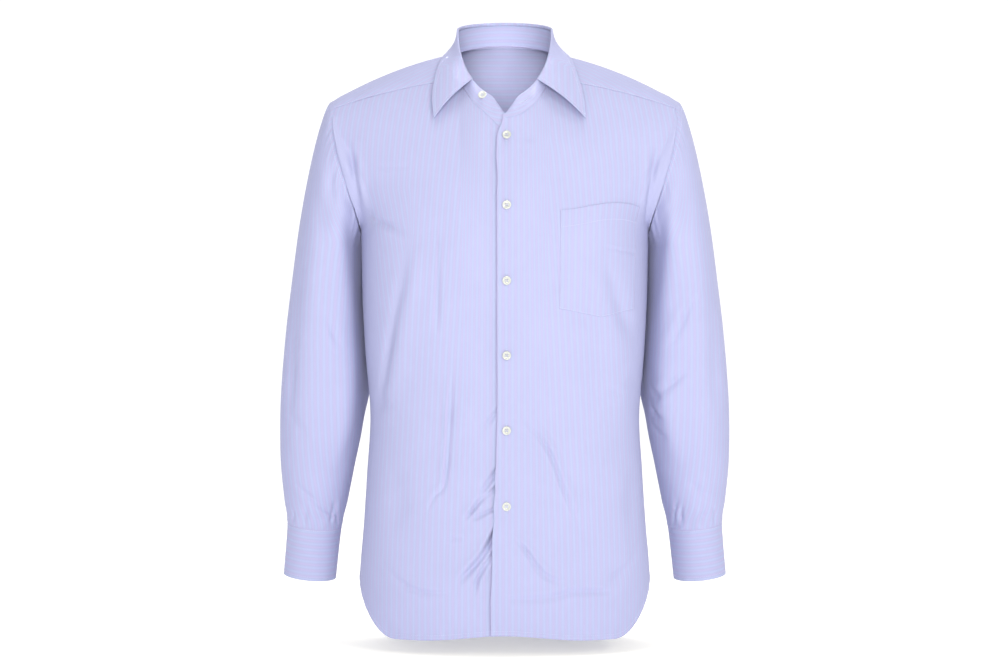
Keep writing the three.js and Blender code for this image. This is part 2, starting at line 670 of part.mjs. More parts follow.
const armRows = ARM.map((row, step) => ({ ...row, step }));
const columnAngle = (j) => (2 * Math.PI * j) / SLEEVE_COLUMNS;

function armSection(step, angle) {
  const centre = (at) =>
    vec(
      (read(armRows, "step", "outer", at) + read(armRows, "step", "inner", at)) / 2,
      read(armRows, "step", "y", at),
      read(armRows, "step", "z", at),
    );
  const half = (read(armRows, "step", "outer", step) - read(armRows, "step", "inner", step)) / 2;
  const [above, below] = [Math.max(step - 0.05, 0), Math.min(step + 0.05, ARM.length - 1)];
  const down = centre(below).sub(centre(above)).normalize();
  const outward = vec(1, 0, 0).addScaledVector(down, -down.x).normalize();
  const forward = down.clone().cross(outward).normalize();
  return centre(step)
    .addScaledVector(outward, -half * Math.cos(angle))
    .addScaledVector(forward, read(armRows, "step", "depth", step) * Math.sin(angle));
}

const armMiddle = (step) => armSection(step, 0).add(armSection(step, Math.PI)).multiplyScalar(0.5);

// Half a seam's gap as a share of the step that starts at a row of the table.
const halfGapAsStep = (step) => SEAM_GAP / 2 / armMiddle(step).distanceTo(armMiddle(step + 1));

function sleevePoint(angle, down) {
  const first = armSection(0, angle);
  if (down >= 1) return armSection(down - 1, angle);
  const top = armholePoint(angle).add(vec(0.9, 0, 0));
  const chord = first.distanceTo(top);
  const over = ((1 - Math.cos(angle)) / 2) ** 1.5;
  const leave = mix(vec(0.02, 0, -1), vec(0.87, 0, -0.5), over).normalize();
  leave.multiplyScalar(chord * lerp(0.9, 0.28, over));
  const next = armSection(0.05, angle).sub(first).normalize();
  return hermite(top, leave, first, next.multiplyScalar(chord), down);
}

function sleeveRings() {
  const last = CUFF_SEAM - halfGapAsStep(CUFF_SEAM - 1);
  const downs = [];
  for (let i = 0; i < SLEEVE_HEAD_ROWS; i++) downs.push(Math.max(0.006, i / SLEEVE_HEAD_ROWS));
  for (let i = 0; i <= SLEEVE_ARM_ROWS; i++) downs.push(1 + (last * i) / SLEEVE_ARM_ROWS);
  return downs.map((down) => {
    const ring = [];
    for (let j = 0; j < SLEEVE_COLUMNS; j++) ring.push(sleevePoint(columnAngle(j), down));
    return ring;
  });
}

function foldedSleeve(rings, folds) {
  const turns = armFolds(folds);
  return rings.map((ring, i) =>
    ring.map((p, j) => {
      const held = smooth(i / 2) * smooth((rings.length - 1 - i) / 1.5);
      const raised = foldsAt(turns, columnAngle(j) * ARM_RADIUS, p.z);
      return p.clone().addScaledVector(ringNormal(rings, i, j), held * raised);
    }),
  );
}
const sleeve = sleeveRings();
const mirroredRings = (rings) => rings.map((ring) => ring.map((p) => vec(-p.x, p.y, p.z)).reverse());
add("sleeve_left", tubeWall(foldedSleeve(sleeve, LEFT_SLEEVE_FOLDS), CLOTH));
add("sleeve_right", tubeWall(mirroredRings(foldedSleeve(sleeve, RIGHT_SLEEVE_FOLDS)), CLOTH));

// Cuffs: a strip wound round once, its ends lapped
const CUFF_COLUMNS = 36;
const CUFF_ROWS = 2;
const CUFF_TURN = 2 * Math.PI + CUFF_OVERLAP;

function cuffPoint(turn, down) {
  const angle = CUFF_START + turn;
  const at = armSection(CUFF_SEAM + down, angle);
  const centre = armMiddle(CUFF_SEAM + down);
  const lapped = smooth((turn - (2 * Math.PI - 0.5)) / 0.45) * (CUFF_CLOTH + LAYER_GAP);
  return at.addScaledVector(at.clone().sub(centre).normalize(), lapped);
}

function cuffGrid() {
  const grid = [];
  for (let i = 0; i <= CUFF_ROWS; i++) {
    const row = [];
    for (let j = 0; j <= CUFF_COLUMNS; j++) {
      row.push(cuffPoint((CUFF_TURN * j) / CUFF_COLUMNS, lerp(halfGapAsStep(CUFF_SEAM), 1, i / CUFF_ROWS)));
    }
    grid.push(row);
  }
  return grid.reverse();
}
add("cuff_left", wall(cuffGrid(), CUFF_CLOTH));
add("cuff_right", wall(mirrored(cuffGrid()), CUFF_CLOTH));

// Sleeve plackets: a pointed strip over the vent above each cuff
const PLACKET_COLUMNS = 4;
const PLACKET_ROWS = 8;
const PLACKET_LIFT = 1 + CLOTH; // outer face above the sleeve's, which is folded beneath it

// The sleeve's own surface moved out along its normal.
function onSleeve(angle, down, lift) {
  const step = 0.02;
  const p = sleevePoint(angle, down);
  const along = sleevePoint(angle, down + step).sub(sleevePoint(angle, down - step));
  const round = sleevePoint(angle + step, down).sub(sleevePoint(angle - step, down));
  const normal = round.cross(along).normalize();
  const axis = sleevePoint(0, down).add(sleevePoint(Math.PI, down)).multiplyScalar(0.5);
  if (normal.dot(p.clone().sub(axis)) < 0) normal.negate();
  return p.addScaledVector(normal, lift);
}

function placketGrid() {
  const rowLength = 59; // length of sleeve that one step of its table takes here
  const last = CUFF_SEAM + 1 - 0.03;
  const grid = [];
  for (let i = 0; i <= PLACKET_ROWS; i++) {
    const row = [];
    for (let j = 0; j <= PLACKET_COLUMNS; j++) {
      const side = (2 * j) / PLACKET_COLUMNS - 1;
      const tip = (SLEEVE_VENT.point * Math.abs(side)) / rowLength;
      const top = last - (SLEEVE_VENT.length + SLEEVE_VENT.point) / rowLength + tip;
      const widen = lerp(1, 0.8, 1 - i / PLACKET_ROWS);
      const angle = SLEEVE_VENT.angle + side * SLEEVE_VENT.halfWidth * widen;
      row.push(onSleeve(angle, lerp(top, last, i / PLACKET_ROWS), PLACKET_LIFT));
    }
    grid.push(row);
  }
  return grid;
}
add("sleeve_placket_left", wall(placketGrid().reverse(), CLOTH));
add("sleeve_placket_right", wall(mirrored(placketGrid()).reverse(), CLOTH));

// The left front's surface at a distance of cloth from the middle and above the chest, moved out.
function onFront(across, above, lift) {
  const at = (a, b) => upright("front", a / FRONT_QUARTER.total).at(b);
  const normal = at(across + 2, above)
    .sub(at(across - 2, above))
    .cross(at(across, above + 2).sub(at(across, above - 2)))
    .normalize();
  const point = at(across, above);
  return point.addScaledVector(normal, lift + foldsAt(frontFolds, point.x, point.z));
}

// Chest pocket: a patch with a pointed foot
const POCKET_STEPS = 10;
function pocketGrid() {
  const grid = [];
  for (let i = 0; i <= POCKET_STEPS; i++) {
    const row = [];
    for (let j = 0; j <= POCKET_STEPS; j++) {
      const side = (2 * j) / POCKET_STEPS - 1;
      const foot = POCKET.bottom - POCKET.point * (1 - Math.abs(side));
      const above = lerp(foot, POCKET.top, i / POCKET_STEPS);
      row.push(onFront(lerp(POCKET.near, POCKET.far, j / POCKET_STEPS), above, LAYER_GAP + CLOTH));
    }
    grid.push(row);
  }
  return grid;
}
add("pocket", wall(pocketGrid(), CLOTH));

// Buttons: four-hole discs
function circle(x, y, radius, sides) {
  return Array.from({ length: sides }, (_, i) => {
    const angle = (2 * Math.PI * i) / sides;
    return new THREE.Vector2(x + radius * Math.cos(angle), y + radius * Math.sin(angle));
  });
}

function buttonGeometry() {
  const face = new THREE.Shape(circle(0, 0, BUTTON.radius, BUTTON.sides));
  for (let i = 0; i < 4; i++) {
    const angle = (i + 0.5) * (Math.PI / 2);
    const [x, y] = [BUTTON.holeFromMiddle * Math.cos(angle), BUTTON.holeFromMiddle * Math.sin(angle)];
    face.holes.push(new THREE.Path(circle(x, y, BUTTON.hole, BUTTON.holeSides)));
  }
  return new THREE.ExtrudeGeometry(face, { depth: BUTTON.thick, bevelEnabled: false });
}

// A button lies on a surface, given as a function of two distances in millimetres from the button's middle.
function addButton(name, surface, side = 1) {
  const across = surface(1, 0).sub(surface(-1, 0));
  const normal = across.cross(surface(0, 1).sub(surface(0, -1))).normalize();
  const middle = surface(0, 0);
  const edge = circle(0, 0, BUTTON.radius, BUTTON.sides);
  const rim = edge.map(({ x, y }) => surface(x, y).sub(middle).dot(normal));
  const place = middle.addScaledVector(normal, Math.max(0, ...rim) + BUTTON_GAP);
  const button = add(name, buttonGeometry(), pearl);
  button.quaternion.setFromUnitVectors(vec(0, 0, 1), vec(normal.x * side, normal.y, normal.z));
  button.position.set(place.x * side, place.y, place.z);
}

BUTTON_ZS.forEach((z, i) => {
  const line = upright("front", BUTTON_X / FRONT_QUARTER.total);
  let above = z - CHEST_Z;
  for (let k = 0; k < 8; k++) above += z - line.at(above).z;
  addButton(`button_front_${i + 1}`, (x, y) => onFront(BUTTON_X + x, above + y, 0));
});

const standButton = { angle: 2 * Math.PI - 0.49, up: 0.7 };
addButton("button_collar", (x, y) =>
  standPoint(standButton.angle + x / STAND.width, standButton.up + y / STAND.height),
);

const cuffLength = armMiddle(CUFF_SEAM).distanceTo(armMiddle(CUFF_SEAM + 1));
const onCuff = (x, y) => cuffPoint(CUFF_TURN - 0.3 + x / ARM[CUFF_SEAM].depth, 0.5 - y / cuffLength);
addButton("button_cuff_left", onCuff);
addButton("button_cuff_right", onCuff, -1);

export default shirt;
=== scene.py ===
import math

import bpy
import numpy as np
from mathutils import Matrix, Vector


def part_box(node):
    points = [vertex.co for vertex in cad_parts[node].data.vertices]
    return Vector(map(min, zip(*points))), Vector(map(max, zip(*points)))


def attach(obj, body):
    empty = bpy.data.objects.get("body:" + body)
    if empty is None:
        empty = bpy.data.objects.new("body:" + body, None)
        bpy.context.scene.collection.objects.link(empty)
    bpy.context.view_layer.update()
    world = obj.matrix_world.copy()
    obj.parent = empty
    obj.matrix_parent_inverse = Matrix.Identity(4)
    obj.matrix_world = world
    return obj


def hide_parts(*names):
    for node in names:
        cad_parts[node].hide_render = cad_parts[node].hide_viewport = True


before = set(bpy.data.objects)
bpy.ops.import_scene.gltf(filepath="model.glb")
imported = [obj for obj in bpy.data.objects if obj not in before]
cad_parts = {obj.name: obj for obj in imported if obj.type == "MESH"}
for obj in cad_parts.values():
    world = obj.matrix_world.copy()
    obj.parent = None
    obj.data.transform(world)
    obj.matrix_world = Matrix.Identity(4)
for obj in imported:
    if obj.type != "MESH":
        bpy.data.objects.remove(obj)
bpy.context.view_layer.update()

# Left front
# One panel of light cotton poplin, cut with the stripes upright and hemmed at the shirt tail.
# It laps over the right front with a plain folded edge and is sewn to the yoke, sleeve, back and stand.
MM = 0.001
CLOTH = 1.2
FABRIC = 0.7
SEAM_GAP = 0.3
CHEST_Z = -235
SQUARENESS = 2.45
TORSO = [
    dict(z=-800, width=191, front=115, back=110),
    dict(z=-694, width=192.5, front=116, back=110),
    dict(z=-620, width=187, front=114, back=106),
    dict(z=-553, width=182.7, front=112, back=101),
    dict(z=-480, width=178.8, front=111, back=97),
    dict(z=-394, width=185.5, front=116, back=103),
    dict(z=-327, width=189, front=122, back=110),
    dict(z=CHEST_Z, width=191, front=127, back=116),
    dict(z=-150, width=192, front=128, back=118),
]
SIDE_HEM_Z = -694
FRONT_TAIL = dict(drop=73, reach=115)
BACK_TAIL = dict(drop=91, reach=165)
FRONT_EDGE_LIFT = dict(rise=7, reach=110)
NECK = dict(width=66, front=100, back=66, front_z=-92, back_z=17, bend=1.1)
YOKE_NECK_ANGLE = 1.105
SHOULDER = dict(x=228, y=5, z=-62)
ARMHOLE = dict(front=73, back=75, front_bend=0.85, back_bend=0.9)
YOKE_ARM_ANGLE = 2.54
BACK_YOKE_ARM_ANGLE = 4.118
BACK_YOKE = dict(y=112, z=-85, bend=2.2)
YOKE_STOPS = [
    dict(round=0, neck=YOKE_NECK_ANGLE, arm=YOKE_ARM_ANGLE, lean=-0.42, bulge=0.12),
    dict(round=0.3, neck=math.pi / 2, arm=math.pi, lean=0, bulge=0.18),
    dict(round=0.55, neck=2.2, arm=BACK_YOKE_ARM_ANGLE, lean=0.6, bulge=0.17),
    dict(round=1, neck=math.pi, arm=BACK_YOKE_ARM_ANGLE, lean=1.15, bulge=0.18),
]
FRONT_STOPS = dict(neck=0.215, arm=0.7)
BACK_STOP = 0.7
LEFT_EDGE = dict(x=-10, hem_x=-18, neck_x=-3, stand_x=12.5)
NECK_OPENS = 32


def lerp(a, b, t):
    return a + (b - a) * t


def smooth(t):
    t = np.clip(t, 0, 1)
    return t * t * (3 - 2 * t)


def point(x, y, z):
    return np.stack(np.broadcast_arrays(x, y, z), axis=-1).astype(float)


def size_of(vectors):
    return np.linalg.norm(vectors, axis=-1)


def unit(vectors):
    return vectors / size_of(vectors)[..., None]


def through(table, key, column, at):
    """Reads a table's column at any places between its rows, on a smooth curve through them."""
    keys, values = (np.array([row[k] for row in table], float) for k in (key, column))
    row = np.arange(len(keys))
    before, after = np.maximum(row - 1, 0), np.minimum(row + 1, len(keys) - 1)
    slope = (values[after] - values[before]) / (keys[after] - keys[before])
    i = np.clip(np.searchsorted(keys, at, side="right") - 1, 0, len(keys) - 2)
    span = keys[i + 1] - keys[i]
    t = (at - keys[i]) / span
    ends = values[i] * (1 + 2 * t) * (1 - t) ** 2 + values[i + 1] * t * t * (3 - 2 * t)
    return ends + slope[i] * span * t * (1 - t) ** 2 - slope[i + 1] * span * t * t * (1 - t)


def straight(table, key, column, at):
    return np.interp(at, [row[key] for row in table], [row[column] for row in table])


def bow(start, leaving, end, reaching, t):
    """A cubic between two points, leaving one along a vector and reaching the other along another."""
    t = np.asarray(t)[..., None]
    ends = start * (2 * t**3 - 3 * t**2 + 1) + end * (3 * t**2 - 2 * t**3)
    return ends + leaving * (t**3 - 2 * t**2 + t) + reaching * (t**3 - t**2)


def quarter_of(width, depth, steps=240):
    """A quarter of the chest's outline with both half axes 1, and its length in millimetres."""
    turn = np.linspace(0, math.pi / 2, steps + 1)
    across = np.sin(turn) ** (2 / SQUARENESS)
    along = np.maximum(0, np.cos(turn)) ** (2 / SQUARENESS)
    length = np.r_[0, np.cumsum(np.hypot(np.diff(across) * width, np.diff(along) * depth))]
    return dict(across=across, along=along, length=length, total=length[-1])


chest = next(row for row in TORSO if row["z"] == CHEST_Z)
QUARTERS = {side: quarter_of(chest["width"], chest[side]) for side in ("front", "back")}


def across_at(side, share):
    quarter = QUARTERS[side]
    return np.interp(share * quarter["total"], quarter["length"], quarter["across"])


def torso(side, share, z):
    """The torso up to the chest, where share runs from the middle of the front or back to the side."""
    quarter = QUARTERS[side]
    along = np.interp(share * quarter["total"], quarter["length"], quarter["along"])
    depth = through(TORSO, "z", side, z) * along
    x = through(TORSO, "z", "width", z) * across_at(side, share)
    return point(x, -depth if side == "front" else depth, z)


def neck(angle):
    """The neck seam by angle from the centre front."""
    cos = np.cos(angle)
    y = np.where(cos > 0, -NECK["front"] * cos, -NECK["back"] * cos)
    rise = np.abs(cos) ** NECK["bend"]
    return point(NECK["width"] * np.sin(angle), y, np.where(cos > 0, NECK["front_z"], NECK["back_z"]) * rise)


def armhole(angle):
    """The armhole seam by angle: from the underarm up the front, over the shoulder and down the back."""
    up = (1 - np.cos(angle)) / 2
    sin = np.sin(angle)
    front = -ARMHOLE["front"] * np.maximum(sin, 0) ** ARMHOLE["front_bend"]
    back = ARMHOLE["back"] * np.maximum(-sin, 0) ** ARMHOLE["back_bend"]
    x = lerp(chest["width"], SHOULDER["x"], smooth(up**0.75))
    return point(x, SHOULDER["y"] * up + front + back, lerp(CHEST_Z, SHOULDER["z"], up))


def back_yoke(share):
    """The back yoke seam from the centre to the armhole."""
    x, y, z = armhole(BACK_YOKE_ARM_ANGLE)
    depth = lerp(BACK_YOKE["y"], y, share ** BACK_YOKE["bend"])
    return point(x * share, depth, lerp(BACK_YOKE["z"], z, share**2))


def yoke_form(around, out):
    """The yoke from its front seam over the shoulder to the centre back, and from the neck outward."""
    last, before = YOKE_STOPS[-1]["round"], YOKE_STOPS[-2]["round"]
    inner = neck(straight(YOKE_STOPS, "round", "neck", around))
    behind = back_yoke(np.clip((last - around) / (last - before), 0, 1))
    beside = armhole(straight(YOKE_STOPS, "round", "arm", around))
    outer = np.where((around < before)[..., None], beside, behind)
    lean = straight(YOKE_STOPS, "round", "lean", around)
    bulge = straight(YOKE_STOPS, "round", "bulge", around) * size_of(outer - inner)
    up = point(0, np.sin(lean), np.cos(lean)) * bulge[..., None]
    return bow(inner, outer - inner + up, outer, outer - inner - up, out)


def front_top(share):
    """Where each upright line of a front ends at the top, and which way it points there."""
    neck_stop, arm_stop = FRONT_STOPS["neck"], FRONT_STOPS["arm"]
    at_neck = np.clip(share / neck_stop, 0, 1)
    reach = NECK["width"] * math.sin(YOKE_NECK_ANGLE)
    x = reach * across_at("front", share) / across_at("front", neck_stop)
    low = neck(np.arcsin(np.clip(x / NECK["width"], -1, 1)))
    low_lean = point(0, lerp(0.36, 0.7, at_neck), lerp(0.93, 0.71, at_neck))
    at_seam = np.clip((share - neck_stop) / (arm_stop - neck_stop), 0, 1)
    seam = yoke_form(np.zeros_like(share), at_seam)
    seam_lean = point(0.05 * at_seam, lerp(0.7, 0.74, at_seam), lerp(0.71, 0.65, at_seam))
    at_arm = np.clip((share - arm_stop) / (1 - arm_stop), 0, 1)
    arm = armhole(YOKE_ARM_ANGLE * (1 - at_arm) ** 1.6)
    arm_lean = unit(lerp(point(0.05, 0.74, 0.65), point(0.12, 0, 1), smooth(at_arm / 0.4)[..., None]))
    on_neck, on_seam = (share <= neck_stop)[..., None], (share <= arm_stop)[..., None]
    return np.where(on_neck, low, np.where(on_seam, seam, arm)), np.where(
        on_neck, low_lean, np.where(on_seam, seam_lean, arm_lean)
    )


def back_top(share):
    """The same for the back."""
    at_seam = np.clip(share / BACK_STOP, 0, 1)
    at_arm = np.clip((share - BACK_STOP) / (1 - BACK_STOP), 0, 1)
    turn = (2 * math.pi - BACK_YOKE_ARM_ANGLE) * (1 - at_arm) ** 1.6
    arm_lean = unit(lerp(point(0.02, -0.3, 0.95), point(0.12, 0, 1), smooth(at_arm / 0.5)[..., None]))
    on_seam = (share <= BACK_STOP)[..., None]
    top = np.where(on_seam, back_yoke(at_seam), armhole(2 * math.pi - turn))
    return top, np.where(on_seam, point(0.03 * share, -0.28, 0.96), arm_lean)


class Upright:
    """Upright lines of cloth, one for each share of the way from the middle to the side seam."""

    def __init__(self, side, share):
        share = np.asarray(share, float)
        self.side, self.share, self.sign = side, np.abs(share), np.where(share < 0, -1, 1)
        self.top, lean = (front_top if side == "front" else back_top)(self.share)
        self.start = torso(side, self.share, CHEST_Z)
        self.length = size_of(self.top - self.start)
        self.leaving = (torso(side, self.share, CHEST_Z + 1) - self.start) * self.length[..., None]
        self.reaching = lean * self.length[..., None]

    def at(self, above):
        """The points at a distance above or below the chest."""
        below = torso(self.side, self.share, CHEST_Z + np.minimum(above, 0))
        t = np.clip(above / np.maximum(self.length, 0.01), 0, None)
        over = bow(self.start, self.leaving, self.top, self.reaching, t)
        points = np.where(((above <= 0) | (self.length < 0.01))[..., None], below, over)
        points[..., 0] *= self.sign
        return points


def hem_z(side, share):
    tail, total = (FRONT_TAIL if side == "front" else BACK_TAIL), QUARTERS[side]["total"]
    share = np.abs(share)
    z = SIDE_HEM_Z - tail["drop"] * smooth((1 - share) * total / tail["reach"])
    if side == "front":
        z = z + FRONT_EDGE_LIFT["rise"] * (1 - smooth(share * total / FRONT_EDGE_LIFT["reach"]))
    return z


def spaced(length, step, fine, near=9, closer=(0, 0, 1)):
    """Shares of a length, a step apart, and closer together near both ends and in one stretch."""
    s = np.linspace(0, length, 4000)
    local = lerp(fine, step, smooth(np.minimum(s, length - s) / near))
    start, end, small = closer
    if end > start:
        within = smooth((s - start) / 20 + 1) * smooth((end - s) / 20 + 1)
        local = np.minimum(local, lerp(step, small, within))
    count = np.r_[0, np.cumsum(np.diff(s) / local[1:])]
    return np.interp(np.linspace(0, count[-1], math.ceil(count[-1]) + 1), count, s) / length


def share_of_x(x):
    shares = np.linspace(0, 0.5, 600)
    return np.sign(x) * np.interp(np.abs(x), across_at("front", shares) * chest["width"], shares)


def opening(z):
    return smooth((z - (NECK["front_z"] - NECK_OPENS)) / NECK_OPENS)


def left_edge_x(z):
    """The front edge swings out towards the hem, and lies in slight waves below the collar."""
    wave = 0.7 * np.sin((z + 196) / 11) * smooth((z + 205) / 25) * smooth((-128 - z) / 20)
    low_wave = 0.6 * np.sin(z / 8.5 + 2 * np.sin(z / 31))
    wave = wave + low_wave * smooth((-520 - z) / 30) * smooth((z + 740) / 30)
    low = lerp(LEFT_EDGE["x"], LEFT_EDGE["hem_x"], smooth((-430 - z) / 320))
    return lerp(low, LEFT_EDGE["neck_x"], opening(z)) + wave


ROW_STEP, COLUMN_STEP = 3.3, 3.2
FRONT_LENGTH, FRONT_WIDTH = 660, QUARTERS["front"]["total"]


def front_form(edge_x):
    """A front's points, in columns from the front edge to the side seam and rows from the hem up."""
    t = spaced(FRONT_LENGTH, ROW_STEP, 1.1, closer=(0, 330, 2.0))[:, None]
    columns = spaced(FRONT_WIDTH, COLUMN_STEP, 1.1, closer=(0, 112, 1.8))[None, :]
    edge = share_of_x(edge_x(lerp(hem_z("front", 0.1), NECK["front_z"], t)))
    share = lerp(edge, 1 - SEAM_GAP / FRONT_WIDTH, columns)
    lines = Upright("front", share)
    return lines.at(lerp(hem_z("front", share) - CHEST_Z, lines.length - SEAM_GAP, t))


def facing(grid):
    """The outward direction at each of a grid's points."""
    return unit(np.cross(np.gradient(grid, axis=1), np.gradient(grid, axis=0)))


# Each crease is a soft trough, or a ridge where its depth is above 0, along a path that fades at both ends.
# Beside a trough the cloth rolls up a little on one side: roll is how much of the depth,
# and below 0 it rolls up on the other side.
def curved(path, steps=6):
    """A smooth path through a few places."""
    rows = [dict(at=i, a=a, b=b) for i, (a, b) in enumerate(path)]
    at = np.linspace(0, len(path) - 1, steps * (len(path) - 1) + 1)
    return np.stack([through(rows, "at", "a", at), through(rows, "at", "b", at)], axis=-1)


def creased(creases, a, b):
    """How far a table of creases moves the cloth out at places a, b."""
    out = np.zeros(np.broadcast(a, b).shape)
    for number, crease in enumerate(creases):
        line = curved(crease["path"])
        steps = np.diff(line, axis=0)
        lengths = size_of(steps)
        starts = np.r_[0, np.cumsum(lengths)]
        total, width = starts[-1], crease["width"]
        reach = 5 * width
        near = (a > line[:, 0].min() - reach) & (a < line[:, 0].max() + reach)
        near &= (b > line[:, 1].min() - reach) & (b < line[:, 1].max() + reach)
        if not near.any():
            continue
        place = np.stack([a[near], b[near]], axis=-1)[:, None, :]
        offset = place - line[:-1]
        t = np.clip((offset * steps).sum(axis=-1) / lengths**2, 0, 1)
        apart = offset - t[..., None] * steps
        distance = size_of(apart)
        nearest = distance.argmin(axis=1)
        pick = np.arange(len(nearest))
        over, up = apart[pick, nearest].T
        side = np.sign(steps[nearest, 0] * up - steps[nearest, 1] * over)
        d = distance[pick, nearest] * np.where(side == 0, 1, side) / width
        along = (starts[nearest] + t[pick, nearest] * lengths[nearest]) / total
        fade = crease.get("fade", 0.4)
        strength = smooth(along / fade) * smooth((1 - along) / fade)
        strength *= 1 + 0.22 * np.sin(2.1 * number + 9 * along) + 0.1 * np.sin(1.3 * number + 23 * along)
        spread = 1 + 0.25 * np.sin(1.7 * number + 5 * along)
        roll = crease.get("roll", 0.35)
        rolled_up = np.exp(-(((d - math.copysign(2.1, roll)) / 1.5) ** 2))
        shape = np.exp(-((d / spread) ** 2)) - abs(roll) * rolled_up
        out[near] += crease["depth"] * strength * shape
    return out


FRONT_CREASES = [
    dict(path=[(-66, -405), (-69, -451), (-72, -510), (-78, -567), (-91, -582), (-106, -618)],
         width=2.6, depth=-2.7, roll=-0.4),
    dict(path=[(-119, -246), (-133, -305), (-149, -380), (-161, -450), (-169, -505)],
         width=7, depth=-3.2, roll=0.5),
    dict(path=[(-186, -218), (-161, -228), (-139, -239), (-118, -250)], width=4.0, depth=-3.3, roll=-0.3),
    dict(path=[(-76, -634), (-64, -635), (-52, -636)], width=2.1, depth=-1.5),
    dict(path=[(-174, -661), (-160, -670), (-138, -691), (-118, -702), (-96, -706), (-57, -706)],
         width=3.2, depth=-1.7),
    dict(path=[(18, -474), (35, -492), (52, -515), (63, -537), (74, -567), (86, -595), (103, -630)],
         width=2.9, depth=-2.3, roll=0.5, fade=0.3),
    dict(path=[(8, -630), (28, -652), (41, -671), (54, -684), (78, -696)], width=2.8, depth=-3.2, roll=0.4),
    dict(path=[(-12, -705), (9, -713), (39, -713), (64, -710), (88, -704), (112, -705), (158, -706)],
         width=3.4, depth=-2.0, fade=0.3),
    dict(path=[(112, -708), (128, -702), (146, -686), (166, -667), (178, -640)],
         width=6.5, depth=-1.8, roll=-0.3),
    dict(path=[(120, -257), (145, -264), (184, -268)], width=2.1, depth=-1.4),
    dict(path=[(127, -250), (133, -287), (149, -335), (163, -370), (176, -410)],
         width=9, depth=-2.8, roll=-0.3),
    dict(path=[(170, -525), (165, -600), (168, -670)], width=8, depth=-2.0, roll=-0.3),
    dict(path=[(-170, -155), (-146, -157), (-118, -154)], width=2.3, depth=-1.4),
    dict(path=[(-87, -232), (-86, -290), (-87, -342), (-88, -398)], width=3.7, depth=-1.5),
    dict(path=[(-204, -112), (-198, -150), (-193, -186), (-188, -222)], width=3.7, depth=-4.5, roll=0.4),
    dict(path=[(198, -120), (193, -160), (188, -196), (185, -226)], width=3.7, depth=-4.2, roll=-0.4),
    dict(path=[(8, -118), (27, -123), (50, -121)], width=2.3, depth=-1.2),
    dict(path=[(10, -126), (22, -140), (30, -158)], width=2.6, depth=-0.9),
    dict(path=[(-56, -430), (-58, -520), (-62, -590)], width=13, depth=2.0, roll=0),
    dict(path=[(36, -500), (62, -560), (84, -600)], width=12, depth=1.5, roll=0),
    dict(path=[(150, -400), (154, -460), (146, -520)], width=16, depth=1.8, roll=0),
    dict(path=[(-112, -240), (-122, -330), (-134, -430)], width=12, depth=1.8, roll=0),
    dict(path=[(112, -300), (120, -400), (112, -500)], width=15, depth=-1.2, roll=0),
    dict(path=[(64, -180), (60, -270), (66, -370)], width=19, depth=1.2, roll=0),
    dict(path=[(-70, -150), (-60, -220), (-60, -300)], width=17, depth=1.1, roll=0),
    dict(path=[(-150, -520), (-138, -580), (-144, -640)], width=11, depth=-1.8, roll=-0.4),
    dict(path=[(-182, -452), (-160, -462), (-132, -463)], width=7, depth=-1.3),
    dict(path=[(182, -430), (158, -444), (130, -450)], width=7, depth=-1.4),
]


def from_edge(values, edge):
    """A grid's values with the line along one edge first."""
    values = values if edge in ("bottom", "top") else values.swapaxes(0, 1)
    return values if edge in ("bottom", "start") else values[::-1]


def as_grid(values, edge):
    """The reverse of from_edge."""
    values = values if edge in ("bottom", "start") else values[::-1]
    return values if edge in ("bottom", "top") else values.swapaxes(0, 1)


def run(grid, axis):
    """Distances along a grid's lines from their first points."""
    steps = np.cumsum(size_of(np.diff(grid, axis=axis)), axis=axis)
    shape = list(grid.shape[:2])
    shape[axis] = 1
    return np.concatenate([np.zeros(shape), steps], axis=axis)


def inset_line(grid, outward, edge, inset):
    """Points and outward directions along one edge of a grid, a distance in from it."""
    lines, directions = from_edge(grid, edge), from_edge(outward, edge)
    depth = run(lines, 0)
    found, facings = [], []
    for m in range(lines.shape[1]):
        found.append([np.interp(inset, depth[:, m], lines[:, m, k]) for k in range(3)])
        facings.append([np.interp(inset, depth[:, m], directions[:, m, k]) for k in range(3)])
    return np.array(found), unit(np.array(facings))


def with_allowance(grid, threads_of, edge, reach=4.5, sink=0.85):
    """Runs a piece on along one edge, under the piece that it is sewn to."""
    lines, marks, out = (from_edge(v, edge) for v in (grid, threads_of, facing(grid)))
    ahead, spread = unit(lines[0] - lines[2]), size_of(lines[0] - lines[2])[:, None]
    along = (marks[0] - marks[2]) / spread
    shares = (1, 0.65, 0.3)
    more = [lines[0] + ahead * reach * t - out[0] * sink * smooth(t * 1.6) for t in shares]
    lines = np.concatenate([np.stack(more), lines])
    marks = np.concatenate([np.stack([marks[0] + along * reach * t for t in shares]), marks])
    return as_grid(lines, edge), as_grid(marks, edge)


def linked(name, data):
    """A new object in the scene."""
    thing = bpy.data.objects.new(name, data)
    bpy.context.scene.collection.objects.link(thing)
    return thing


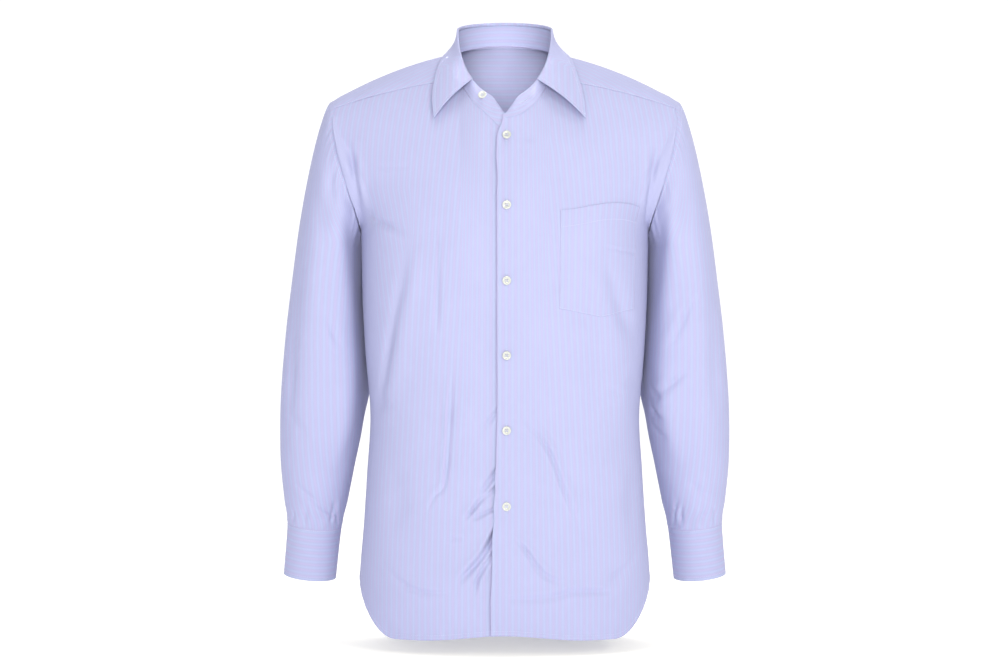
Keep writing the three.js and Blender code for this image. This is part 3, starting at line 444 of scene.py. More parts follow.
def cloth_mesh(name, outer, thickness, thread_map, material):
    """A sheet of cloth under a grid of outer points, with softly rounded edges, as one closed mesh."""
    rows, columns = outer.shape[:2]
    outward = facing(outer)
    inner = outer - outward * thickness
    count = rows * columns
    number = np.arange(count).reshape(rows, columns)
    a, b, c, d = number[:-1, :-1], number[:-1, 1:], number[1:, 1:], number[1:, :-1]
    face = np.stack([a, b, c, d], axis=-1).reshape(-1, 4)
    back = np.stack([a, d, c, b], axis=-1).reshape(-1, 4) + count
    loop = np.r_[number[0, :-1], number[:-1, -1], number[-1, :0:-1], number[:0:-1, 0]]
    away = np.zeros_like(outer)
    away[0] += outer[0] - outer[1]
    away[-1] += outer[-1] - outer[-2]
    away[:, 0] += outer[:, 0] - outer[:, 1]
    away[:, -1] += outer[:, -1] - outer[:, -2]
    corner = away.reshape(-1, 3)[loop]
    middle = (outer.reshape(-1, 3)[loop] + inner.reshape(-1, 3)[loop]) / 2 + unit(corner) * 0.1 * thickness
    rim = 2 * count + np.arange(len(loop))
    following = np.roll(np.arange(len(loop)), -1)
    upper = np.stack([loop, rim, rim[following], loop[following]], axis=-1)
    lower = np.stack([rim, loop + count, (loop + count)[following], rim[following]], axis=-1)
    points = np.concatenate([outer.reshape(-1, 3), inner.reshape(-1, 3), middle])
    faces = np.concatenate([face, back, upper, lower])
    mesh = bpy.data.meshes.new(name)
    mesh.from_pydata((points * MM).tolist(), [], faces.tolist())
    flat = thread_map.reshape(-1, 2)
    places = np.concatenate([flat, flat, flat[loop]])
    layer = mesh.uv_layers.new(name="Thread lines")
    layer.data.foreach_set("uv", places[faces.reshape(-1)].astype(np.float32).reshape(-1))
    mesh.polygons.foreach_set("use_smooth", np.ones(len(faces), bool))
    mesh.materials.append(material)
    mesh.validate()
    return linked(name, mesh)


def hem_fold(grid, edge="bottom", width=6.5, height=0.5):
    """The turned hem: a thicker strip along an edge, drawn in by its stitches."""
    lines = from_edge(grid, edge)
    depth, along = run(lines, 0), run(lines, 1)[:1]
    strip = height * smooth((width + 1.2 - depth) / 1.6)
    draw = -0.4 * np.exp(-(((depth - width) / 1.5) ** 2))
    pucker = 0.3 * np.exp(-(((depth - width) / 8) ** 2)) * np.sin(along / 2.3 + 2.3 * np.sin(along / 17))
    return as_grid(strip + draw + pucker, edge)


def seam_ease(grid, edge, reach=16, height=0.35):
    """Small uneven puckers where a longer edge is eased into a seam."""
    lines = from_edge(grid, edge)
    depth, along = run(lines, 0), run(lines, 1)[:1]
    wave = np.sin(along / 3.1 + 2.6 * np.sin(along / 23) + 1.4 * np.sin(along / 9))
    return as_grid(height * np.exp(-((depth / reach) ** 2)) * smooth(depth / 4) * wave, edge)


def upright_threads(grid):
    """Thread lines in millimetres of cloth: u round the body from the middle, v up it."""
    u = run(grid, 1)
    middle = [np.interp(0, row_x, row_u) for row_x, row_u in zip(grid[..., 0], u)]
    return np.stack([u - np.array(middle)[:, None], run(grid, 0)], axis=-1)


def shader_group(name, inputs, outputs):
    """An empty shader node group with named inputs and outputs."""
    group = bpy.data.node_groups.new(name, "ShaderNodeTree")
    kinds = dict(number="NodeSocketFloat", colour="NodeSocketColor", place="NodeSocketVector")
    for label, kind, value in inputs:
        socket = group.interface.new_socket(name=label, in_out="INPUT", socket_type=kinds[kind])
        socket.default_value = value
    for label, kind in outputs:
        group.interface.new_socket(name=label, in_out="OUTPUT", socket_type=kinds[kind])
    return group, group.nodes.new("NodeGroupInput"), group.nodes.new("NodeGroupOutput")


def feed(tree, node, **inputs):
    """Gives a node its inputs, which are values or other nodes' outputs.

    An underscore stands for a space in an input's name, and i0, i1 for inputs by number.
    """
    for name, value in inputs.items():
        socket = node.inputs[int(name[1:]) if name[1:].isdigit() else name.replace("_", " ")]
        if isinstance(value, bpy.types.NodeSocket):
            tree.links.new(value, socket)
        else:
            socket.default_value = value
    return node


def add(tree, kind, settings=(), **inputs):
    """Adds a shader node with its settings and inputs."""
    node = tree.nodes.new("ShaderNode" + kind)
    for name, value in dict(settings).items():
        setattr(node, name, value)
    return feed(tree, node, **inputs)


def maths(tree, operation, a, b=0.0):
    """A number worked out from one or two others."""
    return add(tree, "Math", dict(operation=operation), i0=a, i1=b).outputs[0]


def scaled(tree, vector, by):
    return add(tree, "VectorMath", dict(operation="SCALE"), i0=vector, Scale=by).outputs[0]


def new_material(name, **inputs):
    material = bpy.data.materials.new(name)
    material.use_nodes = True
    feed(material.node_tree, material.node_tree.nodes["Principled BSDF"], **inputs)
    return material


def bump(tree, height, strength, distance, **inputs):
    """A small relief in millimetres."""
    return add(tree, "Bump", Height=height, Strength=strength, Distance=distance * MM, **inputs).outputs[0]


# Stripes: one blue and one pink hair stripe to each repeat, on the ground of the cloth.
stripes, given, result = shader_group(
    "Poplin stripes",
    [
        ("Threads", "place", (0, 0, 0)),
        ("Repeat", "number", 8.1),
        ("Stripe width", "number", 0.3),
        ("Ground", "colour", (1, 1, 1, 1)),
        ("Blue", "colour", (1, 1, 1, 1)),
        ("Pink", "colour", (1, 1, 1, 1)),
    ],
    [("Color", "colour")],
)
split = add(stripes, "SeparateXYZ", i0=given.outputs["Threads"])
turns = maths(stripes, "DIVIDE", split.outputs[0], given.outputs["Repeat"])
colour = given.outputs["Ground"]
for place, stripe in ((0.25, "Blue"), (0.75, "Pink")):
    apart = maths(stripes, "PINGPONG", maths(stripes, "SUBTRACT", turns, place), 0.5)
    reach = add(
        stripes,
        "MapRange",
        dict(interpolation_type="SMOOTHSTEP"),
        Value=apart,
        From_Max=given.outputs["Stripe width"],
        To_Min=1,
        To_Max=0,
    )
    blend = add(stripes, "Mix", dict(data_type="RGBA"), Factor=reach.outputs[0])
    stripes.links.new(colour, blend.inputs["A"])
    stripes.links.new(given.outputs[stripe], blend.inputs["B"])
    colour = blend.outputs["Result"]
feed(stripes, result, Color=colour)

# Plain weave: warp and weft threads that pass over and under each other.
weave, given, result = shader_group(
    "Plain weave",
    [("Threads", "place", (0, 0, 0)), ("Warp", "number", 0.34), ("Weft", "number", 0.42)],
    [("Height", "number"), ("Fleck", "number")],
)
split = add(weave, "SeparateXYZ", i0=given.outputs["Threads"])
waves = []
for axis, size in ((0, "Warp"), (1, "Weft")):
    turns = maths(weave, "DIVIDE", split.outputs[axis], given.outputs[size])
    waves.append(maths(weave, "SINE", maths(weave, "MULTIPLY", turns, math.pi)))
stretch = add(weave, "VectorMath", dict(operation="MULTIPLY"), i0=given.outputs["Threads"], i1=(1.1, 0.05, 1))
slubs = add(weave, "TexNoise", Scale=1, Detail=2, Vector=stretch.outputs[0])
feed(weave, result, Height=maths(weave, "MULTIPLY", *waves), Fleck=slubs.outputs["Fac"])

# Wash and wear: faint crumpling left by washing, and a soft change of tone over the cloth.
wear, given, result = shader_group(
    "Washed cotton",
    [("Threads", "place", (0, 0, 0)), ("Crumple size", "number", 24.0), ("Tone size", "number", 70.0)],
    [("Crumple", "number"), ("Tone", "number")],
)
for label, size, detail in (("Crumple", "Crumple size", 3), ("Tone", "Tone size", 2)):
    finer = scaled(wear, given.outputs["Threads"], maths(wear, "DIVIDE", 1.0, given.outputs[size]))
    noise = add(wear, "TexNoise", Scale=1, Detail=detail, Roughness=0.55, Vector=finer)
    wear.links.new(noise.outputs["Fac"], result.inputs[label])

GROUND, BLUE, PINK = (0.318, 0.336, 0.555, 1), (0.325, 0.362, 0.592, 1), (0.345, 0.332, 0.566, 1)
poplin = new_material(
    "Striped poplin", Roughness=0.82, Sheen_Weight=0.1, Sheen_Roughness=0.5, Specular_IOR_Level=0.25
)
tree = poplin.node_tree
threads = add(tree, "UVMap", dict(uv_map="Thread lines")).outputs[0]
striped, woven, washed = (
    add(tree, "Group", dict(node_tree=group), Threads=threads) for group in (stripes, weave, wear)
)
feed(tree, striped, Ground=GROUND, Blue=BLUE, Pink=PINK)
tone = add(tree, "MapRange", To_Min=0.97, To_Max=1.03, Value=washed.outputs["Tone"]).outputs[0]
fleck = add(tree, "MapRange", To_Min=0.96, To_Max=1.04, Value=woven.outputs["Fleck"]).outputs[0]
crumple = bump(tree, washed.outputs["Crumple"], 0.5, 1.2)
feed(
    tree,
    tree.nodes["Principled BSDF"],
    Base_Color=scaled(tree, striped.outputs["Color"], maths(tree, "MULTIPLY", tone, fleck)),
    Normal=bump(tree, woven.outputs["Height"], 0.25, 0.03, Normal=crumple),
)


def mottled(material, scale, first, second, relief, distortion=0.0):
    """A fine noise that runs between two colours and raises a little relief."""
    tree = material.node_tree
    place = add(tree, "TexCoord").outputs["Object"]
    grain = add(tree, "TexNoise", Scale=scale, Distortion=distortion, Vector=place).outputs["Fac"]
    tint = add(tree, "Mix", dict(data_type="RGBA"), Factor=grain)
    tint.inputs["A"].default_value, tint.inputs["B"].default_value = first, second
    feed(
        tree,
        tree.nodes["Principled BSDF"],
        Base_Color=tint.outputs["Result"],
        Normal=bump(tree, grain, relief, 0.05),
    )


thread = new_material("Sewing thread", Roughness=0.55, Sheen_Weight=0.3)
mottled(thread, 900, (0.36, 0.38, 0.60, 1), (0.46, 0.48, 0.70, 1), 0.4)

STITCH = dict(length=2.3, pitch=2.9, radius=0.2)


def resampled(points, directions, pitch):
    """Evenly spaced places along a line, with the way along it and the outward direction there."""
    lengths = np.r_[0, np.cumsum(size_of(np.diff(points, axis=0)))]
    at = np.arange(pitch / 2, lengths[-1], pitch)

    def read(values, s):
        return np.stack([np.interp(s, lengths, values[:, k]) for k in range(3)], axis=-1)

    along = unit(read(points, at + 0.4) - read(points, at - 0.4))
    return read(points, at), along, unit(read(directions, at))


def stitch_mesh(name, places, along, outward, length, radius):
    """Small round-ended stitches, each along its own direction, as one joined mesh."""
    sides, stations = 5, ((-1, 0.4), (-0.6, 1), (0.6, 1), (1, 0.4))
    beside = unit(np.cross(along, outward))
    rings = []
    for share, swell in stations:
        for k in range(sides):
            turn = 2 * math.pi * k / sides
            round_it = beside * math.cos(turn) + outward * math.sin(turn)
            rings.append(places + along * (share * length / 2) + round_it * (swell * radius))
    points = np.stack(rings, axis=1)
    faces = []
    for i in range(len(stations) - 1):
        for k in range(sides):
            a, b = i * sides + k, i * sides + (k + 1) % sides
            faces.append([a, b, b + sides, a + sides])
    each = len(stations) * sides
    first = np.arange(len(points)) * each
    quads = (np.array(faces)[None] + first[:, None, None]).reshape(-1, 4)
    caps = np.array([list(range(sides))[::-1], list(range(each - sides, each))])
    caps = (caps[None] + first[:, None, None]).reshape(-1, sides)
    mesh = bpy.data.meshes.new(name)
    mesh.from_pydata((points.reshape(-1, 3) * MM).tolist(), [], quads.tolist() + caps.tolist())
    mesh.polygons.foreach_set("use_smooth", np.ones(len(mesh.polygons), bool))
    mesh.materials.append(thread)
    piece = linked(name, mesh)
    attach(piece, "root")
    return piece


def sewn(name, lines):
    """Rows of lockstitch along lines of points and outward directions."""
    rows = [resampled(points, directions, STITCH["pitch"]) for points, directions in lines]
    places, along, outward = (np.concatenate([row[k] for row in rows]) for k in range(3))
    return stitch_mesh(name, places, along, outward, STITCH["length"], STITCH["radius"])


def sewn_piece(name, node, grid, threads_of, lines, under=(), thickness=FABRIC):
    """Makes a cut piece, its seam allowances and its rows of stitches, and hides the part from model.glb that
    it replaces.
    """
    outward = facing(grid)
    rows = [inset_line(grid, outward, *line) for line in lines]
    for edge in under:
        grid, threads_of = with_allowance(grid, threads_of, edge)
    piece = cloth_mesh(name, grid, thickness, threads_of, poplin)
    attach(piece, "root")
    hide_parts(node)
    stitches = [sewn(name + "_stitches", rows)]
    return piece


front = front_form(left_edge_x)
outward = facing(front)
raised = creased(FRONT_CREASES, front[..., 0], front[..., 2]) + hem_fold(front) + seam_ease(front, "top")
# The folded edge stands up in a low lip, a little uneven along its length.
LIP = dict(height=0.7, uneven=0.3, width=4)
lip = LIP["height"] + LIP["uneven"] * np.sin(front[..., 2] / 37)
raised = raised + lip * np.exp(-((run(front, 1) / LIP["width"]) ** 2))
left_front_grid = front + outward * raised[..., None]
sewn_piece(
    "left_front",
    "front_left",
    left_front_grid,
    upright_threads(front),
    [("bottom", 6.2)],
    ["top"],
)

# Right front
# The matching panel, which runs under the left one and carries the buttons.
# Tension on the buttons draws soft folds out from under the left edge.
RIGHT_EDGE = dict(x=20, neck_x=4, stand_x=-10.5)
UNDERLAP = CLOTH + 1.6
# Drags that come out from under the left edge, and two at the neck.
UNDER_EDGE_CREASES = [
    dict(path=[(12, -452), (-8, -470), (-20, -486), (-27, -502)], width=2.6, depth=-1.8, fade=0.3),
    dict(path=[(12, -523), (-8, -545), (-24, -569), (-38, -592), (-49, -607)],
         width=2.6, depth=-2.9, fade=0.25),
    dict(path=[(12, -551), (-10, -569), (-29, -585), (-42, -600), (-56, -615)],
         width=2.5, depth=-3.4, roll=-0.3, fade=0.25),
    dict(path=[(12, -588), (-10, -596), (-32, -606), (-48, -612)], width=2.4, depth=-2.6, fade=0.25),
    dict(path=[(12, -584), (-2, -608), (-14, -630), (-22, -646), (-32, -661), (-45, -676), (-62, -694)],
         width=3.2, depth=-6.4, roll=-0.3, fade=0.2),
    dict(path=[(10, -618), (-4, -640), (-16, -657), (-27, -672), (-36, -690), (-39, -712)],
         width=2.7, depth=-3.9, fade=0.25),
    dict(path=[(-26, -101), (-14, -105), (-4, -114), (8, -124)], width=1.9, depth=-1.2),
    dict(path=[(-18, -110), (-11, -113), (-3, -121), (8, -130)], width=1.8, depth=-1.0),
]


def underlap(x):
    """How far the cloth steps back to pass under the left front."""
    return UNDERLAP * smooth((x + 34) / 20)


front = front_form(lambda z: -lerp(RIGHT_EDGE["x"], RIGHT_EDGE["neck_x"], opening(z)))[:, ::-1] * (-1, 1, 1)
outward = facing(front)
raised = creased(FRONT_CREASES + UNDER_EDGE_CREASES, front[..., 0], front[..., 2])
raised = raised + hem_fold(front) + seam_ease(front, "top")
right_front_grid = front + outward * raised[..., None]
right_front_grid[..., 1] += underlap(front[..., 0])
# Beyond the long fold at the side the cloth swings round, and its stripes slant with it.
fold_line = FRONT_CREASES[1]["path"][::-1]
fold_x = np.interp(front[..., 2], [z for _, z in fold_line], [x for x, _ in fold_line])
swung = 0.23 * np.clip(-185 - front[..., 2], 0, 240) * smooth((fold_x + 3 - front[..., 0]) / 9)
right_front_threads = upright_threads(front)
right_front_threads[..., 0] -= swung * smooth((front[..., 2] + 560) / 60)
sewn_piece(
    "right_front",
    "front_right",
    right_front_grid,
    right_front_threads,
    [("bottom", 6.2)],
    ["top"],
)

# Chest pocket
# A patch of the same poplin with a pointed foot, its stripes in line with the front's.
# The mouth has a deep hem, and two sides and the foot are edge-stitched to the left front.
POCKET = dict(near=71, far=186, top=28, bottom=-105, point=11)
LAYER_GAP = 0.6
POCKET_LIFT = 0.45


def on_front(across, above, lift=0.0):
    """The left front's surface at a distance of cloth from the middle and above the chest, moved out."""
    def at(a, b):
        return Upright("front", a / FRONT_WIDTH).at(b)

    here = at(across, above)
    over = at(across + 2, above) - at(across - 2, above)
    up = at(across, above + 2) - at(across, above - 2)
    normal = unit(np.cross(over, up))
    out = lift + creased(FRONT_CREASES, here[..., 0], here[..., 2])
    return here + normal * out[..., None]


columns = spaced(POCKET["far"] - POCKET["near"], 2.4, 0.9, 5)[None, :]
rows = spaced(POCKET["top"] - POCKET["bottom"], 2.4, 0.9, 5)[:, None]
foot = POCKET["bottom"] - POCKET["point"] * (1 - np.abs(2 * columns - 1))
mouth = POCKET["top"] + 4.5 * np.sin(math.pi * (1.45 * columns - 0.45)) - 2.5 * (1 - columns)
across = lerp(POCKET["near"], POCKET["far"], columns) + 0 * rows
above = lerp(foot, mouth, rows)
pocket = on_front(across, above, POCKET_LIFT)
fullness = 1.6 * np.sin(math.pi * columns) * smooth(rows * 2) * smooth((1 - rows) * 6 + 0.35)
mouth_hem = 0.2 * smooth((above - mouth + 22) / 1.5)
from_side = np.minimum(run(pocket, 1), run(pocket[:, ::-1], 1)[:, ::-1])
stitched_down = -0.4 * (1 - smooth(np.minimum(from_side, run(pocket, 0)) / 1.6))
pocket = pocket + facing(pocket) * (fullness + mouth_hem + stitched_down)[..., None]
front_u = np.stack([across, above], axis=-1)
sewn_piece(
    "pocket_patch",
    "pocket",
    pocket,
    front_u,
    [("bottom", 1.6), ("start", 1.6), ("end", 1.6), ("top", 21.5)],
    thickness=0.4,
)

# Back
# One panel from side seam to side seam, with the deeper shirt tail, sewn up into the yoke.
# It hangs in long soft folds from the yoke and breaks into shallow drags at the waist.
BACK_LENGTH, BACK_WIDTH = 690, QUARTERS["back"]["total"]
BACK_CREASES = [
    dict(path=[(-62, -96), (-60, -180), (-54, -300), (-50, -430)],
         width=11.0, depth=-4.3, roll=0.4, fade=0.5),
    dict(path=[(66, -96), (62, -200), (56, -310), (52, -420)], width=10.2, depth=-4.1, roll=-0.4, fade=0.5),
    dict(path=[(-172, -236), (-140, -262), (-112, -298), (-84, -338)], width=7.6, depth=-3.8, roll=-0.4),
    dict(path=[(174, -230), (146, -254), (118, -282), (90, -320)], width=7.6, depth=-3.9, roll=0.4),
    dict(path=[(-150, -440), (-106, -458), (-66, -474), (-24, -486)], width=7.6, depth=-4.1),
    dict(path=[(136, -418), (98, -436), (60, -456), (20, -470)], width=7.2, depth=-3.8, roll=-0.4),
    dict(path=[(-120, -494), (-84, -512), (-40, -520)], width=6.8, depth=-3.0),
    dict(path=[(118, -480), (84, -496), (46, -502)], width=7.6, depth=-2.8, roll=-0.35),
    dict(path=[(-96, -392), (-60, -410), (-16, -418)], width=6.8, depth=-2.6),
    dict(path=[(28, -530), (38, -600), (46, -700)], width=12.8, depth=3.5, roll=0),
    dict(path=[(-68, -550), (-76, -620), (-84, -712)], width=12.8, depth=3.2, roll=0),
    dict(path=[(-20, -560), (-14, -640), (-22, -750)], width=10.2, depth=-2.8, roll=0.3),
    dict(path=[(96, -560), (104, -630), (98, -710)], width=10.2, depth=-2.9, roll=-0.3),
    dict(path=[(-140, -560), (-146, -620), (-140, -690)], width=9.3, depth=-2.5, roll=0.3),
    dict(path=[(150, -540), (156, -600), (150, -670)], width=9.3, depth=2.2, roll=0),
    dict(path=[(2, -150), (-6, -250), (4, -360)], width=17.0, depth=1.9, roll=0),
    dict(path=[(-120, -130), (-126, -190), (-118, -240)], width=10.2, depth=-2.3, roll=0.35),
    dict(path=[(124, -134), (130, -186), (120, -236)], width=9.3, depth=-2.5, roll=-0.35),
    dict(path=[(-186, -360), (-168, -400), (-160, -450)], width=8.5, depth=-2.5),
    dict(path=[(184, -370), (168, -410), (162, -460)], width=8.5, depth=-2.3),
]
half = spaced(BACK_WIDTH, 3.6, 1.2)
shares = np.r_[1 - half[:-1], -(1 - half[::-1])] * (1 - SEAM_GAP / BACK_WIDTH)
t = spaced(BACK_LENGTH, 3.5, 1.1)[:, None]
lines = Upright("back", shares[None, :] + 0 * t)
back = lines.at(lerp(hem_z("back", shares[None, :] + 0 * t) - CHEST_Z, lines.length - SEAM_GAP, t))
raised = creased(BACK_CREASES, back[..., 0], back[..., 2]) + hem_fold(back) + seam_ease(back, "top")
back_grid = back + facing(back) * raised[..., None]
turned = back * (-1, 1, 1)
sewn_piece(
    "back_panel",
    "back",
    back_grid,
    upright_threads(turned),
    [("bottom", 6.2)],
    ["top", "start", "end"],
)

# Yoke
# One piece over both shoulders, cut so that its stripes run across the back.
# Its lower edges lap over the fronts and the back and are edge-stitched.
YOKE_INSET = 0.004
YOKE_HEIGHT = 108
YOKE_CREASES = [
    dict(path=[(0.05, 0.45), (0.18, 0.62), (0.3, 0.94)], width=0.045, depth=-1.2),
    dict(path=[(1.72, 0.5), (1.82, 0.66), (1.94, 0.9)], width=0.045, depth=-1.3, roll=-0.35),
    dict(path=[(0.56, 0.2), (0.66, 0.5), (0.74, 0.9)], width=0.06, depth=-1.2),
    dict(path=[(1.4, 0.15), (1.34, 0.5), (1.26, 0.9)], width=0.06, depth=-1.1),
]
around = lerp(2 - YOKE_INSET, YOKE_INSET, spaced(700, 3.2, 1.1))[None, :]
outs = lerp(YOKE_INSET, 1 - YOKE_INSET, spaced(150, 2.6, 1.0))[:, None]
around, outs = np.broadcast_arrays(around, outs)
yoke = yoke_form(np.where(around > 1, 2 - around, around), outs)
yoke[..., 0] *= np.where(around > 1, -1, 1)
from_edges = np.minimum(np.minimum(run(yoke, 1), run(yoke[:, ::-1], 1)[:, ::-1]), run(yoke[::-1], 0)[::-1])
raised = lerp(0.25, CLOTH, smooth(from_edges / 10)) + creased(YOKE_CREASES, around, outs)
yoke_grid = yoke + facing(yoke) * raised[..., None]
# The stripes run level across the back, and over the shoulders in line with the front seams.
reached = run(yoke, 1)
corner = YOKE_STOPS[2]["round"]
corners = np.array([np.interp((corner - 2, -corner), -a, b) for a, b in zip(around, reached)])
forward = np.maximum(0, np.maximum(corners[:, :1] - reached, reached - corners[:, 1:]))
yoke_u = (1 - outs) * YOKE_HEIGHT + forward
sewn_piece(
    "yoke_panel",
    "yoke",
    yoke_grid,
    np.stack([yoke_u, upright_threads(yoke)[..., 0]], axis=-1),
    [("top", 1.8), ("start", 1.8), ("end", 1.8)],
    ["bottom"],
)

# Collar stand
# A band of poplin and interlining on the neck seam, with round front ends that stand open.
# The right end carries the collar button.
BAND_OUT = 3.1
OPEN_END = dict(share=0.2, angle=0.54, ease=0.18)
STAND = dict(
    width=59.5, front=88, back=61, front_z=-67, side_z=33, back_z=50, bend=0.95, corner=11, height=30
)


def stand_top(angle):
    cos = np.cos(angle)
    y = np.where(cos > 0, -STAND["front"] * cos, -STAND["back"] * cos)
    fall = (STAND["front_z"] - STAND["side_z"]) * np.maximum(cos, 0) ** STAND["bend"]
    rise = (STAND["back_z"] - STAND["side_z"]) * np.maximum(-cos, 0)
    return point(STAND["width"] * np.sin(angle), y, STAND["side_z"] + fall + rise)


def stand_form(angle, up):
    """The band by angle from the centre front, counted all round, and from its seam up."""
    low, high = neck(angle), stand_top(angle)
    up = np.asarray(up, float)[..., None]
    place = low * (1 - up) + high * up + unit(high - low) * 3 * SEAM_GAP * (1 - up)
    place[..., 1] += np.where(np.asarray(angle) > 1.5 * math.pi, underlap(place[..., 0]), 0)
    return place


def end_angle(edge, up):
    return np.arcsin(lerp(edge["neck_x"], edge["stand_x"], up) / lerp(NECK["width"], STAND["width"], up))


def band_form(angle, up):
    """The band's outer face as it is worn, pressed outward at its top, and less at its open ends."""
    place = stand_form(angle, up)
    rise = unit(stand_form(angle, 1) - stand_form(angle, 0))
    ahead = unit(stand_form(np.asarray(angle) + 0.01, up) - place)
    from_front = math.pi - np.abs(math.pi - np.asarray(angle))
    under_leaf = smooth((from_front - OPEN_END["angle"]) / OPEN_END["ease"])
    pressed = BAND_OUT * lerp(OPEN_END["share"], 1, under_leaf) * smooth(up)
    return place + unit(np.cross(ahead, rise)) * pressed[..., None]


def neck_lap(angle, share):
    """The band's foot, which laps a little over the fronts, and further at the wearer's right edge."""
    seam = neck(angle)
    lines = Upright("front", share_of_x(seam[..., 0]))
    near_edge = np.where(np.asarray(angle) > math.pi, np.clip((28 + seam[..., 0]) / 20.6, 0, 1.3), 0)
    on_front = smooth((np.cos(angle) - 0.47) / 0.06)
    drop = lerp(0.3, 1.6, on_front) + 14 * near_edge**1.5
    place = lines.at(np.maximum(lines.length - drop * share, 0))
    place[..., 1] += np.where(np.asarray(angle) > 1.5 * math.pi, underlap(place[..., 0]), 0)
    beside = neck(angle) + point(0, -0.7, -0.7) * (0.3 * share)[..., None]
    return np.where((on_front > 0)[..., None], place, beside)


rows = spaced(STAND["height"], 1.7, 0.8, 5)[:, None]
columns = spaced(430, 2.4, 0.9, 20)[None, :]
first, last = end_angle(LEFT_EDGE, rows), 2 * math.pi + end_angle(RIGHT_EDGE, rows)
angle = lerp(first, last, columns)
corner = STAND["corner"]
inside = np.minimum(np.minimum((angle - first), (last - angle)) * STAND["width"], corner)
cut = (corner - np.sqrt(corner**2 - (corner - inside) ** 2)) / STAND["height"]
upright = band_form(angle, (1 - cut) * rows)
shares = np.linspace(1, 0.15, 7)[:, None]
foot = neck_lap(angle[:1] + 0 * shares, shares + 0 * angle[:1])
foot = foot + facing(np.concatenate([foot, upright]))[: len(shares)] * 0.5
band = np.concatenate([foot, upright])
band_u = run(band, 0)
band_u = band_u - band_u[len(shares)] + 5.3
sewn_piece(
    "collar_band",
    "collar_stand",
    band,
    np.stack([band_u, upright_threads(band)[..., 0]], axis=-1),
    [("top", 2.0)],
)

# Collar leaf
# Two layers of poplin over interlining, rolled over the top of the stand, with points at the front.
# It is top-stitched 6 mm in from its edge.
LEAF_END_ANGLE = 0.75
LEAF_EDGE = [
    dict(angle=0.75, x=98, shift=6.5, y=-90, z=-94, full=5),
    dict(angle=0.88, x=98.5, shift=4, y=-70, z=-65, full=3.5),
    dict(angle=1.08, x=94, shift=2.5, y=-47, z=-37, full=0),
    dict(angle=1.31, x=87.5, shift=2, y=-19, z=-12, full=-3),
    dict(angle=1.57, x=80, shift=1.5, y=5, z=1.5, full=-4),
    dict(angle=1.92, x=72.5, shift=1, y=38, z=6, full=-1.5),
    dict(angle=2.27, x=57, shift=0.5, y=59, z=8, full=0),
    dict(angle=2.7, x=30, shift=0, y=73, z=9, full=0.5),
    dict(angle=math.pi, x=0, shift=0, y=77.5, z=9.5, full=0.5),
]
LEAF_ROLL = [
    dict(out=1.7, up=-3.5),
    dict(out=1.7, up=-1.2),
    dict(out=1.95, up=0.2),
    dict(out=2.6, up=1.0),
    dict(out=3.4, up=1.1),
    dict(out=4.05, up=0.6),
]
leaf_columns = lerp(2 * math.pi - LEAF_END_ANGLE, LEAF_END_ANGLE, spaced(430, 2.0, 0.9, 12))
fold = stand_form(leaf_columns, np.ones_like(leaf_columns))
rise = unit(fold - stand_form(leaf_columns, np.zeros_like(leaf_columns)))
ahead = unit(stand_form(leaf_columns + 0.01, np.ones_like(leaf_columns)) - fold)
away = unit(np.cross(ahead, rise))
turned = math.pi - np.abs(math.pi - leaf_columns)
side = np.sign(np.sin(leaf_columns))
edge = point(
    side * through(LEAF_EDGE, "angle", "x", turned) + through(LEAF_EDGE, "angle", "shift", turned),
    through(LEAF_EDGE, "angle", "y", turned),
    through(LEAF_EDGE, "angle", "z", turned),
)
full = through(LEAF_EDGE, "angle", "full", turned)[:, None]
start = fold + away * 3.2 - rise * 0.3
falls = spaced(70, 2.2, 0.9, 8)
falling = np.stack([lerp(start, edge, t) + away * full * math.sin(math.pi * t) for t in falls])
rolled = [fold + away * step["out"] + rise * step["up"] for step in LEAF_ROLL]
leaf = np.concatenate([np.stack(rolled), falling + facing(falling) * CLOTH])
# The stripes fall upright on the leaf: in front u goes by how far across, and at the back by how far round.
rounds = run(fold[None] * (1, 1, 0), 1)[0]
rounds = rounds - np.interp(math.pi, leaf_columns[::-1], rounds[::-1])
in_front = smooth((1.75 - turned) / 0.6)
leaf_u = lerp(rounds + 0 * leaf[..., 0], -leaf[..., 0], in_front)
sewn_piece(
    "collar_fall",
    "collar_leaf",
    leaf,
    np.stack([leaf_u, run(leaf, 0)], axis=-1),
    [("top", 6.0), ("start", 6.0), ("end", 6.0)],
)

# Sleeves
# One piece each, sewn round the armhole and closed by a seam under the arm, with the stripes along the arm.
# They hang slightly bent, so the cloth breaks inside the elbow and gathers a little at the cuff.
ARM = [
    dict(outer=277.5, inner=195.5, z=-254, y=7, depth=69),
    dict(outer=284, inner=194.5, z=-302, y=10, depth=68),
    dict(outer=291.5, inner=191.2, z=-360, y=15, depth=65),
    dict(outer=297.5, inner=187.6, z=-420, y=20, depth=60),
    dict(outer=301.5, inner=189.5, z=-480, y=25, depth=55),
    dict(outer=302, inner=201, z=-540, y=31, depth=49),
    dict(outer=297.5, inner=212, z=-595, y=37, depth=43),
    dict(outer=293.6, inner=220.2, z=-629, y=41, depth=36.8),
    dict(outer=299.4, inner=228.6, z=-699, y=49, depth=35),
]
for step, row in enumerate(ARM):
    row["step"] = step
CUFF_SEAM = len(ARM) - 2
ARM_RADIUS = 50
